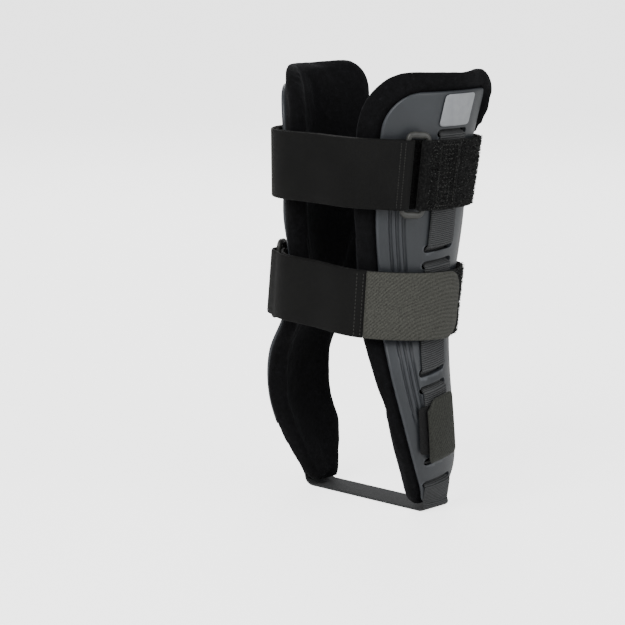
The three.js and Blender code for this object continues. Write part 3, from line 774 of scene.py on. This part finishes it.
def side_place(points):
    """Arc length, height and distance out of points on the lateral side."""
    z = points[:, 2]
    half_x, half_y = follow(SECTIONS, z, 1), follow(SECTIONS, z, 2)
    y = points[:, 1] - follow(SECTIONS, z, 3)
    angle = np.arctan2(y / half_y, points[:, 0] / half_x)
    for _ in range(3):
        base = on_leg(1, angle, z, 0)
        ahead = on_leg(1, angle + 0.001, z, 0) - base
        angle = angle + 0.001 * np.sum((points - base) * ahead, axis=1) / np.sum(ahead * ahead, axis=1)
    base = on_leg(1, angle, z, 0)
    out = on_leg(1, angle, z, 1) - base
    return angle * radius_at(z), z, np.sum((points - base) * out, axis=1)


def inflate(made):
    """Swells the pad with cloth pressure; it stays put where it lies against the shell."""
    rest = coordinates(made)
    s, z, off = side_place(rest)
    front, rear = shell_edges(np.clip(z, SHELL_BOTTOM, SHELL_TOP))
    inside = np.minimum(np.minimum(s - front, rear - s), np.minimum(SHELL_TOP - z, z - SHELL_BOTTOM))
    held = smoothstep(inside, -0.5, 2.5) * smoothstep(off, -PAD_OUTER - PAD_THICKNESS * 0.6, -PAD_OUTER - 1.2)
    group = made.vertex_groups.new(name="held")
    for index, weight in enumerate(held):
        group.add([index], float(weight), "REPLACE")
    cloth = modify(made, "CLOTH")
    for key, value in PAD_CLOTH.items():
        setattr(cloth.settings, key, value)
    cloth.settings.effector_weights.gravity = 0
    cloth.collision_settings.use_collision = False
    cloth.point_cache.frame_start, cloth.point_cache.frame_end = 1, PAD_FRAMES
    for step in range(1, PAD_FRAMES + 1):
        bpy.context.scene.frame_set(step)
    apply_modifiers(made)
    moved = coordinates(made) - rest
    length = np.linalg.norm(moved, axis=1, keepdims=True)
    moved *= np.minimum(1, PAD_CAP / np.maximum(length, 1e-6)) * (1 - held[:, None])
    set_coordinates(made, rest + moved)
    bpy.context.scene.frame_set(1)


lateral_liner = pad_mesh()
modify(lateral_liner, "REMESH", mode="VOXEL", voxel_size=PAD_VOXEL * MM, use_smooth_shade=True)
apply_modifiers(lateral_liner)
inflate(lateral_liner)
modify(lateral_liner, "SUBSURF", levels=1, render_levels=1)
apply_modifiers(lateral_liner)
shade_smooth(lateral_liner)
on_both_sides(lateral_liner, "medial_liner_pad", "liner_fabric", "{}_liner")

# ---------------------------------------------------------------- webbing

WEAVE_RADIUS = WEBBING_GAP + WEBBING_THICKNESS / 2
OUTSIDE_RUN = WEAVE_RADIUS
INSIDE_RUN = -SHELL_WALL - WEAVE_RADIUS
LEAD, LEAD_INSIDE = 4, 3


def turn_points(centre, radius, start, end, steps=8):
    turns = np.linspace(start, end, steps + 1)
    return [[centre[0] + radius * math.cos(t), centre[1] + radius * math.sin(t)] for t in turns]


def crossing(height, inward):
    """Path down through a slot as [height, off] points, round one lip and then the other."""
    upper = np.array([height + SLOT_HEIGHT / 2, 0 if inward else -SHELL_WALL], float)
    lower = np.array([height - SLOT_HEIGHT / 2, -SHELL_WALL if inward else 0], float)
    reach = lower - upper
    turn = math.atan2(abs(reach[1]), abs(reach[0])) + math.asin(2 * WEAVE_RADIUS / np.linalg.norm(reach))
    out = WEAVE_RADIUS if inward else -WEAVE_RADIUS
    turns = np.linspace(0, turn, 9)
    first = [[upper[0] - WEAVE_RADIUS * math.sin(a), upper[1] + out * math.cos(a)] for a in turns]
    turns = np.linspace(turn, 0, 9)
    return first + [[lower[0] + WEAVE_RADIUS * math.sin(a), lower[1] - out * math.cos(a)] for a in turns]


def level_run(start, end, off, step=2.5):
    count = max(2, int(abs(end - start) / step))
    return [[height, off] for height in np.linspace(start, end, count)]


def on_lateral(along, across, off):
    return on_leaning(1, across, along, off)


def webbing():
    path = level_run(WEBBING_START, SLOT_A + LEAD_INSIDE, INSIDE_RUN) + crossing(SLOT_A, False)
    for last, into, out in ((SLOT_A, SLOT_B, SLOT_C), (SLOT_C, SLOT_D, SLOT_E)):
        path += level_run(last - LEAD, into + LEAD, OUTSIDE_RUN)
        path += crossing(into, True) + crossing(out, False)[1:]
    path += level_run(SLOT_E - LEAD, WEBBING_END, OUTSIDE_RUN)
    half = WEBBING_WIDTH / 2
    return band(
        "lateral_webbing", path, lambda _: (-half, half), WEBBING_THICKNESS, on_lateral, GROSGRAIN, 10
    )


def patch(name, ends, off, edges, corner, thickness, place, surface, cells, step):
    """A flat patch with rounded corners, between two ends of its length and two edges."""

    def across(along):
        inset = corner_inset(np.minimum(along - ends[0], ends[1] - along), corner)
        return edges[0] + inset, edges[1] - inset

    return band(name, level_run(*ends, off, step), across, thickness, place, surface, cells)


on_both_sides(webbing(), "medial_webbing", "webbing", "{}_side_webbing")

BEND_X = float(follow(SECTIONS, HEEL_BEND, 1)) + WEBBING_GAP + WEBBING_THICKNESS - HEEL_BEND


def heel_rise():
    """Half of the heel strap's path, from slot F to the bend, as [height, off] points."""
    lip = np.array([SLOT_F - SLOT_HEIGHT / 2, -SHELL_WALL])
    mouth = np.array([SLOT_F, HEEL_SPLIT])
    reach = mouth - lip
    touch = math.atan2(reach[1], reach[0]) - math.acos(WEAVE_RADIUS / np.linalg.norm(reach))
    path = [list(mouth)] + turn_points(lip, WEAVE_RADIUS, touch, -math.pi / 2)
    return path + crossing(SLOT_G, False)[1:] + level_run(SLOT_G - LEAD, HEEL_BEND, OUTSIDE_RUN, 1.5)


def heel_strap():
    """One strap from the lateral slots, under the heel, and up to the medial slots."""
    rise = np.array(heel_rise())
    normal = normals_2d(rise)
    bend = np.linspace(0, -math.pi / 2, 9)[1:]
    radius = WEBBING_THICKNESS / 2
    share, past, h = rounded_section(radius, 8).T
    v = (share - 0.5) * (HEEL_WIDTH - 2 * radius) + past
    rows = []
    for point, side_normal in zip(rise, normal):
        rows.append(on_leaning(1, v, point[0] + side_normal[0] * h, point[1] + side_normal[1] * h))
    middle = on_leaning(1, 0, HEEL_BEND, 0)
    curved = on_leaning(1, v, HEEL_BEND, 0) - middle
    curved[:, 1] += middle[1]
    flat = np.stack([0 * v, v, 0 * v], axis=1)
    for turn in bend:
        reach = HEEL_BEND - radius + h
        x, z = BEND_X + reach * math.cos(turn), HEEL_BEND + reach * math.sin(turn)
        share = smoothstep(HEEL_BEND + (HEEL_BEND - radius) * math.sin(turn), WEBBING_THICKNESS, HEEL_BEND)
        across = flat * (1 - share) + curved * share
        rows.append(np.stack([x, 0 * x, z], axis=1) + across)
    for x in np.linspace(BEND_X, 0, 20)[1:]:
        rows.append(np.stack([x + 0 * v, v, radius - h], axis=1))
    other = [row * np.array([-1, 1, 1]) for row in rows[-2::-1]]
    rows = np.array(rows + other)
    run, shape = run_along(rows.mean(axis=1)), rows.shape[:2]
    uv = np.stack([np.broadcast_to(run[:, None], shape), np.broadcast_to(v, shape)], axis=-1).reshape(-1, 2)
    faces = tube_faces(len(rows), len(v))
    made = add_mesh("heel_strap_webbing", rows.reshape(-1, 3), faces, GROSGRAIN, uv)
    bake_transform(made)
    stands_for(made, "webbing", "heel_strap", "heel_strap_medial")


heel_strap()

TAB_THICK, TAB_ROUND, TAB_CHAMFER = 1.9, 3.0, 5.5


def heel_tab():
    """The heel strap's free end, folded up over its hook patch."""
    fold = HEEL_TAB_OFF - 2 * HEEL_SPLIT
    path = turn_points((SLOT_F + fold, 2 * HEEL_SPLIT), fold, math.pi, math.pi / 2, 10)
    path += level_run(SLOT_F + fold + 1.5, HEEL_TAB_TOP - 8, HEEL_TAB_OFF, 1.5)
    path += level_run(HEEL_TAB_TOP - 7.4, HEEL_TAB_TOP, HEEL_TAB_OFF, 0.6)
    half = HEEL_WIDTH / 2

    def across(along):
        left = HEEL_TAB_TOP - along
        cut = np.clip(TAB_CHAMFER - left, 0, TAB_CHAMFER) * 0.85 + corner_inset(left, 1.2)
        low = 0.8 * corner_inset(along - SLOT_F, TAB_ROUND)
        return -half + cut + low, half - corner_inset(left, 2.0) - low

    return band("lateral_heel_tab_cloth", path, across, TAB_THICK, on_lateral, HEEL_TAB_LOOK, 10)


def heel_patch():
    ends, edges = (PATCH_BOTTOM, PATCH_TOP), (PATCH_FRONT, PATCH_REAR)
    return patch("lateral_heel_hooks", ends, PATCH_OFF, edges, 2.5, 0.9, on_lateral, HOOKS, 10, 1.0)


on_both_sides(heel_tab(), "medial_heel_tab_cloth", "tab_fabric", "{}_heel_tab", "{}_heel_tab")
on_both_sides(heel_patch(), "medial_heel_hooks", "hook_tape", "{}_heel_tab_patch")

# ---------------------------------------------------------------- wrap straps

LOOP_RADIUS = RING_ROD / 2 + RING_CLEARANCE + STRAP_THICKNESS / 2
BAR_OFF = STRAP_INNER + LOOP_RADIUS
LOOP_REACH = 24
# The last two place the dark pile strip under each ring, which is painted shade.
GAP_BLEND, SHADE_STRIP_OFF, SHADE_STRIP_THICKNESS = 0.022, 0.95, 0.8
PILE_DENSITY, FOLD_PILE_DENSITY, SUNK_IN_PILE, THREAD_ROD = 0.9, 1.6, 0.35, 0.22


def strap_radius(strap):
    return radius_at(strap["height"]) + BAR_OFF


def along_at(strap, degrees):
    return math.radians(degrees) * strap_radius(strap)


def strap_point(strap, side, along, across, off):
    """Point on a strap, which is straight across its width; across is 0 on its middle line."""
    angle = along / strap_radius(strap)
    middle = strap["height"] + strap["tilt"] * side * np.cos(angle) - strap["lift"] * np.sin(angle)
    share = 0.5 + np.asarray(across, float)[..., None] / strap["width"]
    low = on_leg(side, angle, middle - strap["width"] / 2, off)
    high = on_leg(side, angle, middle + strap["width"] / 2, off)
    return low + (high - low) * share


def dip(strap, along):
    """Between the shells a strap cuts across the gap, closer to the leg."""
    degrees = np.degrees(along / strap_radius(strap))
    depth = 0
    for gap in GAPS:
        away = np.minimum(abs(degrees - gap["middle"]) / gap["half"], 1)
        depth = depth + gap["depth"] * (0.5 + 0.5 * np.cos(math.pi * away))
    return depth


def strap_run(strap, start, end, off_at, step=1.6):
    count = max(3, int(abs(end - start) / step) + 1)
    return [[along, off_at(along) - dip(strap, along)] for along in np.linspace(start, end, count)]


def inner_off(_):
    return STRAP_INNER


def outer_off(_):
    return STRAP_OUTER


def off_bar(bar):
    """Height of the layer that comes off a bar, falling to the level of the layer below it."""

    def height(along):
        fall = smoothstep(abs(along - bar), FALL_FROM, FALL_TO)
        return BAR_OFF + LOOP_RADIUS + (STRAP_OUTER - BAR_OFF - LOOP_RADIUS) * fall

    return height


def round_bar(bar, towards):
    turns = np.linspace(-math.pi / 2, math.pi / 2, 13)
    return [[bar + towards * LOOP_RADIUS * math.cos(t), BAR_OFF + LOOP_RADIUS * math.sin(t)] for t in turns]


def strap_band(name, strap, side, path, surface, soft_ends, thickness=STRAP_THICKNESS, across=None, cells=3):
    half = strap["width"] / 2
    return band(
        name,
        path,
        across or (lambda along: (-half, half)),
        thickness,
        lambda along, v, off: strap_point(strap, side, along, v, off),
        surface,
        cells,
        soft_ends,
    )


def frame_point(strap, side, along, off=STRAP_OUTER):
    return Vector(strap_point(strap, side, along, 0.0, off)) * MM


def over_gap(piece):
    """Bakes the transform of a strap piece that crosses the gap between the two shells into its mesh."""
    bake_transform(piece)


def fibres(name, strap, side, start, end, off_at, density, seed):
    """Standing loops of pile on a strap's outer face, each a small bent thread."""
    random = np.random.default_rng(seed)
    length = abs(end - start)
    count = int(length * strap["width"] * density)
    along = min(start, end) + length * random.random(count)
    across = (random.random(count) - 0.5) * (strap["width"] - 0.6)
    base = off_at(along) - dip(strap, along) + STRAP_THICKNESS / 2 - 0.1
    lean = random.random(count) * 2 * math.pi
    reach = 0.35 + 0.5 * random.random(count)
    tall = 0.35 + 0.6 * random.random(count)
    rod = 0.09 + 0.1 * random.random(count)
    bends = np.array([[0.0, 0.0], [0.25, 0.8], [0.65, 1.0], [1.0, 0.35]])
    spine_along = along[:, None] + np.cos(lean)[:, None] * reach[:, None] * bends[:, 0]
    spine_across = across[:, None] + np.sin(lean)[:, None] * reach[:, None] * bends[:, 0]
    spine_off = base[:, None] + tall[:, None] * bends[:, 1]
    turns = np.array([0, 2 * math.pi / 3, 4 * math.pi / 3])
    across_dir = np.stack([-np.sin(lean), np.cos(lean)], axis=1)
    ring_along = spine_along[..., None] + rod[:, None, None] * np.cos(turns) * across_dir[:, 0, None, None]
    ring_across = spine_across[..., None] + rod[:, None, None] * np.cos(turns) * across_dir[:, 1, None, None]
    ring_off = spine_off[..., None] + rod[:, None, None] * np.sin(turns)
    points = strap_point(strap, side, ring_along, ring_across, ring_off).reshape(-1, 3)
    one = tube_faces(len(bends), len(turns), (False, False))
    faces = (np.array(one)[None] + len(bends) * len(turns) * np.arange(count)[:, None, None]).reshape(-1, 4)
    return add_mesh(name, points, faces, FIBRE)


def stitches(name, places, length, rod):
    """Short thread stitches: places gives each one's middle and direction, as two arrays of points."""
    middles, directions = places
    around, rings = 6, [(-0.5, 0.35), (-0.3, 0.95), (0.0, 1.1), (0.3, 0.95), (0.5, 0.35)]
    turns = np.linspace(0, 2 * math.pi, around, endpoint=False)
    points, faces = [], []
    for middle, direction in zip(middles, directions):
        ahead = direction / np.linalg.norm(direction)
        out = np.array([middle[0], middle[1], 0.0])
        out = out - ahead * np.dot(out, ahead)
        out /= np.linalg.norm(out)
        beside = np.cross(ahead, out)
        base = len(points)
        for share, wide in rings:
            centre = middle + ahead * share * length
            for t in turns:
                points.append(centre + rod * wide * (math.cos(t) * beside + math.sin(t) * out * 0.8))
        faces += shifted(tube_faces(len(rings), around), base)
    return add_mesh(name, points, faces, THREAD)


def stitch_row(strap, side, start, end, off_at, pitch):
    """Middles and directions of stitches along a line between two [along, across] points."""
    start, end = np.array(start, float), np.array(end, float)
    count = max(2, int(np.linalg.norm(end - start) / pitch))
    shares = (np.arange(count) + 0.5) / count
    at = start + (end - start) * shares[:, None]
    off = off_at(at[:, 0]) - dip(strap, at[:, 0]) + STRAP_THICKNESS / 2 + 0.02
    ahead = (end - start) / np.linalg.norm(end - start)
    here = strap_point(strap, side, at[:, 0], at[:, 1], off)
    there = strap_point(strap, side, at[:, 0] + ahead[0] * 0.5, at[:, 1] + ahead[1] * 0.5, off)
    return here, there - here


def stitch_rows(strap, side, lines, off_at, pitch):
    rows = [stitch_row(strap, side, start, end, off_at, pitch) for start, end in lines]
    return np.concatenate([r[0] for r in rows]), np.concatenate([r[1] for r in rows])


def box_lines(start, end, half, rungs):
    """A sewn box with rungs across it."""
    corners = [(start, -half), (end, -half), (end, half), (start, half)]
    lines = list(zip(corners, corners[1:] + corners[:1]))
    middle = (start + end) / 2
    reach = abs(end - start) * 0.28
    for across in np.linspace(-half, half, rungs + 2)[1:-1]:
        lines.append(((middle - reach, across), (middle + reach, across)))
    return lines


def ring(strap):
    """The strap's moulded ring: a rounded rectangle of round rod."""
    side = strap["side"]
    rear = along_at(strap, RING_REAR_BAR)
    front = rear - RING_BARS
    rear_bar, front_bar = strap_point(strap, side, np.array([rear, front]), np.zeros(2), BAR_OFF)
    middle = (rear + front) / 2
    edges = np.array([-0.5, 0.5]) * strap["width"]
    low, high = strap_point(strap, side, np.array([middle] * 2), edges, BAR_OFF)
    up = (high - low) / np.linalg.norm(high - low)
    ahead = front_bar - rear_bar
    ahead -= up * np.dot(ahead, up)
    ahead /= np.linalg.norm(ahead)
    out = np.cross(ahead, up)
    centre = (rear_bar + front_bar) / 2
    half_width, half_height = RING_BARS / 2, strap["width"] / 2 + RING_MARGIN + RING_ROD / 2
    corner = RING_CORNER
    outline = []
    for x, y, start in ((1, 1, 0), (-1, 1, 1), (-1, -1, 2), (1, -1, 3)):
        for t in np.linspace(0, math.pi / 2, 7):
            angle = start * math.pi / 2 + t
            across, along = corner * math.cos(angle), corner * math.sin(angle)
            outline.append([x * (half_width - corner) + across, y * (half_height - corner) + along])
    outline = resampled(np.array(outline), 1.0)
    around = 14
    turns = np.linspace(0, 2 * math.pi, around, endpoint=False)
    tangent = np.roll(outline, -1, axis=0) - np.roll(outline, 1, axis=0)
    normal = np.stack([tangent[:, 1], -tangent[:, 0]], axis=1)
    normal /= np.linalg.norm(normal, axis=1, keepdims=True)
    rod = RING_ROD / 2
    points = []
    for at, side_normal in zip(outline, normal):
        for t in turns:
            flat = at + side_normal * rod * (1 + RING_END_WIDER * side_normal[1] ** 2) * math.cos(t)
            points.append(centre + ahead * flat[0] + up * flat[1] + out * rod * math.sin(t))
    made = add_mesh(f"{strap['name']}_ring", points, loop_faces(len(outline), around), RING_LOOK)
    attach(made, f"{strap['name']}_ring")
    stands_for(made, "ring_plastic", f"{strap['name']}_strap_ring")


def wrap_strap(strap, seed):
    name, side, half = strap["name"], strap["side"], strap["width"] / 2
    rear = along_at(strap, RING_REAR_BAR)
    front = rear - RING_BARS
    rear_gap, front_gap = along_at(strap, 90), along_at(strap, -90)
    loop_far = front - LOOP_REACH
    seam = along_at(strap, SEAM)
    open_ends, last_end, both_ends = (False, False), (False, True), (True, True)

    def crossing_gap(piece, slot, on=side, *nodes):
        over_gap(piece)
        stands_for(piece, slot, *nodes)

    def gap_band(what, on, path, surface, ends, slot, node):
        piece = strap_band(f"{name}_{what}", strap, on, path, surface, ends)
        crossing_gap(piece, slot, on, f"{name}_strap_{node}")

    def sew(what, on, lines, off_at, pitch, length, rod=THREAD_ROD):
        return stitches(f"{name}_{what}", stitch_rows(strap, on, lines, off_at, pitch), length, rod)

    def pile(what, on, start, end, off_at, density, step):
        return fibres(f"{name}_{what}", strap, on, start, end, off_at, density, seed + step)

    # anchor: up from behind the leg, round the ring's rear bar and sewn down on itself
    lead, folded_end, from_bar = rear + ANCHOR_LEAD, rear + LOOP_END, off_bar(rear)
    path = strap_run(strap, rear_gap, lead, inner_off) + round_bar(rear, -1)
    path += strap_run(strap, lead, folded_end, from_bar, 1.0)
    gap_band("anchor", side, path, PILE, last_end, "loop_pile", "anchor")
    loops = [pile("anchor_fold_pile", side, rear + 0.3, folded_end - 0.4, from_bar, FOLD_PILE_DENSITY, 0)]
    loops.append(pile("anchor_pile", side, folded_end, rear_gap, inner_off, PILE_DENSITY, 1))
    crossing_gap(join(f"{name}_anchor_loops", loops), "loop_pile")
    lines = box_lines(rear + 5.5, folded_end - 2.5, half - 2.2, 12)
    sewn = sew("anchor_stitches", side, lines, lambda a: from_bar(a) + SUNK_IN_PILE, 1.7, 1.25)
    crossing_gap(sewn, "strap_fabric")

    # painted shade: a dark pile strip under the ring, which darkens the opening between the ring's bars
    path = strap_run(strap, front - 5, rear + 4, lambda _: SHADE_STRIP_OFF)
    shade_strip = strap_band(f"{name}_ring_shade_strip", strap, side, path, PILE, both_ends, SHADE_STRIP_THICKNESS)
    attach(shade_strip, BODY[side])
    stands_for(shade_strip, "loop_pile")

    # front strap: off the ring's front bar, two layers towards the other side
    lead, from_bar = front - FALL_FROM, off_bar(front)
    path = strap_run(strap, loop_far, lead, inner_off) + round_bar(front, 1)
    path += strap_run(strap, lead, loop_far, from_bar, 1.0)
    loop = strap_band(f"{name}_front_loop", strap, side, path, STRAP_LOOK, open_ends)
    lines = [((front - at, 1 - half), (front - at, half - 1)) for at in (1.6, 3.6)]
    sewn = sew("fold_stitches", side, lines, from_bar, 1.3, 0.9, 0.17)
    start, end = frame_point(strap, side, loop_far + 2), frame_point(strap, side, front - 5)
    for piece, nodes in ((loop, [f"{name}_strap_fold"]), (sewn, [])):
        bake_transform(piece)
        stands_for(piece, "strap_fabric", *nodes)
    path = strap_run(strap, front_gap, loop_far, inner_off)
    gap_band("front_under", side, path, STRAP_LOOK, open_ends, "strap_fabric", "front_inner")
    path = strap_run(strap, loop_far, front_gap, from_bar)
    gap_band("front_over", side, path, STRAP_LOOK, open_ends, "strap_fabric", "front_outer")

    # far side: the pile band against the shell, and the closing end over it
    path = strap_run(strap, rear_gap, front_gap, inner_off)
    gap_band("far_band", -side, path, PILE, open_ends, "loop_pile", "band")
    start = along_at(strap, TAB_END - 8)
    crossing_gap(pile("far_loops", -side, start, rear_gap, inner_off, PILE_DENSITY, 2), "loop_pile", -side)
    path = strap_run(strap, front_gap, seam, outer_off)
    gap_band("closing_end", -side, path, STRAP_LOOK, last_end, "strap_fabric", "outer_end")
    lines = [((seam - at, -half + 1), (seam - at, half - 1)) for at in (1.1, 4.2)]
    sewn = sew("seam_stitches", -side, lines, lambda a: STRAP_OUTER + 0 * a, 1.7, 1.2)
    crossing_gap(sewn, "strap_fabric", -side)

    # hook tab, laid on the pile: its cloth and the hook layer under it
    end = along_at(strap, TAB_END)

    def rounded(inset):
        def across(along):
            cut = corner_inset(end - inset - along, TAB_CORNER - inset)
            return -half + inset + cut, half - inset - cut

        return across

    def tab_layer(what, inset, off_at, surface, thickness):
        path = strap_run(strap, seam + 0.2 + inset, end - TAB_CORNER, off_at)
        bend = end - inset - (TAB_CORNER - inset) * (1 - np.sin(np.linspace(0, math.pi / 2, 14)[1:]))
        path += [[a, off_at(a) - dip(strap, a)] for a in bend]
        return strap_band(
            f"{name}_{what}", strap, -side, path, surface, both_ends, thickness, rounded(inset), 4
        )

    tab = tab_layer("tab_cloth", 0, outer_off, TAB_LOOK, 1.5)
    hooks = tab_layer("tab_hooks", 2, lambda a: STRAP_OUTER - 1.05, HOOKS, 0.6)
    start, end_of_bend = frame_point(strap, -side, seam - 1), frame_point(strap, -side, seam + 6)
    for piece, node, slot in ((tab, "tab", "tab_fabric"), (hooks, "tab_hook", "hook_tape")):
        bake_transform(piece)
        stands_for(piece, slot, f"{name}_strap_{node}")
    ring(strap)


wrap_strap(UPPER, 11)
wrap_strap(LOWER, 23)

# ---------------------------------------------------------------- label and hidden pieces

LABEL_BOTTOM, LABEL_TOP, LABEL_FRONT, LABEL_REAR, LABEL_OFF = 194.3, 210, -11, 10, 0.65


def label():
    def place(along, v, off):
        return on_side(1, v, along, off)

    ends, edges = (LABEL_BOTTOM, LABEL_TOP), (LABEL_FRONT, LABEL_REAR)
    made = patch("blank_label", ends, LABEL_OFF, edges, 2.0, 0.7, place, LABEL_LOOK, 12, 0.5)
    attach(made, BODY[1])
    stands_for(made, "label", "label_patch")


label()
for side in (1, -1):
    for place_name in ("upper", "middle", "lower"):
        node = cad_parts[f"{SIDE[side]}_liner_hook_{place_name}"]
        node.data.materials.clear()
        node.data.materials.append(HOOKS)

# ---------------------------------------------------------------- stage, light and camera

FLOOR_SIZE, FLOOR_GLOW = 60.0, 2.4
STUDIO_LIGHT, BACKDROP_LIGHT = 0.45, 6.0
AIM = Vector((-0.0245, -0.0220, 0.0956))
AZIMUTH, ELEVATION, DISTANCE, LENS = math.radians(43.46), math.radians(10.27), 1.1558, 130.6


def floor():
    look = Look("floor_paper", 0.8)
    look.tones(look.noise(3, 2), (0.3, 246, 246, 245), (0.7, 250, 250, 249))
    look.put(look.shader, "Emission Color", (1, 1, 1, 1))
    seen_directly = look.node("ShaderNodeLightPath", out="Is Camera Ray")
    look.put(look.shader, "Emission Strength", look.times(seen_directly, FLOOR_GLOW))
    half = FLOOR_SIZE / 2 / MM
    points = [[-half, -half, -0.1], [half, -half, -0.1], [half, half, -0.1], [-half, half, -0.1]]
    made = add_mesh("floor", points, [[0, 1, 2, 3]], look.material)


def aimed(name, data, place, direction):
    made = in_scene(name, data)
    made.location = place
    made.rotation_mode = "QUATERNION"
    made.rotation_quaternion = direction.to_track_quat("-Z", "Y")
    return made


def area_light(name, place, size, power, tone=(1, 1, 1)):
    lamp = bpy.data.lights.new(name, "AREA")
    lamp.size, lamp.energy, lamp.color = size, power, tone
    aimed(name, lamp, place, Vector((0, 0, 0.1)) - Vector(place))


floor()
area_light("key", (0.2, -1.3, 1.2), 0.9, 19)
area_light("fill", (1.4, 0.1, 0.7), 1.2, 10, (0.97, 0.99, 1.0))
area_light("back", (-0.9, 0.9, 1.1), 1.0, 10)

world = bpy.data.worlds.new("studio")
world.use_nodes = True
sky = world.node_tree
backdrop = sky.nodes["Background"]
backdrop.inputs["Color"].default_value = (1, 1, 1, 1)
seen = sky.nodes.new("ShaderNodeLightPath").outputs["Is Camera Ray"]
strength = sky.nodes.new("ShaderNodeMapRange")
sky.links.new(seen, strength.inputs["Value"])
strength.inputs["To Min"].default_value = STUDIO_LIGHT
strength.inputs["To Max"].default_value = BACKDROP_LIGHT
sky.links.new(strength.outputs[0], backdrop.inputs["Strength"])
bpy.context.scene.world = world

camera_data = bpy.data.cameras.new("camera")
camera_data.lens = LENS
camera_data.sensor_width = 36
camera_data.clip_start, camera_data.clip_end = 0.05, 20
back = Vector(
    (math.sin(AZIMUTH) * math.cos(ELEVATION), -math.cos(AZIMUTH) * math.cos(ELEVATION), math.sin(ELEVATION))
)
bpy.context.scene.camera = aimed("camera", camera_data, AIM + back * DISTANCE, -back)
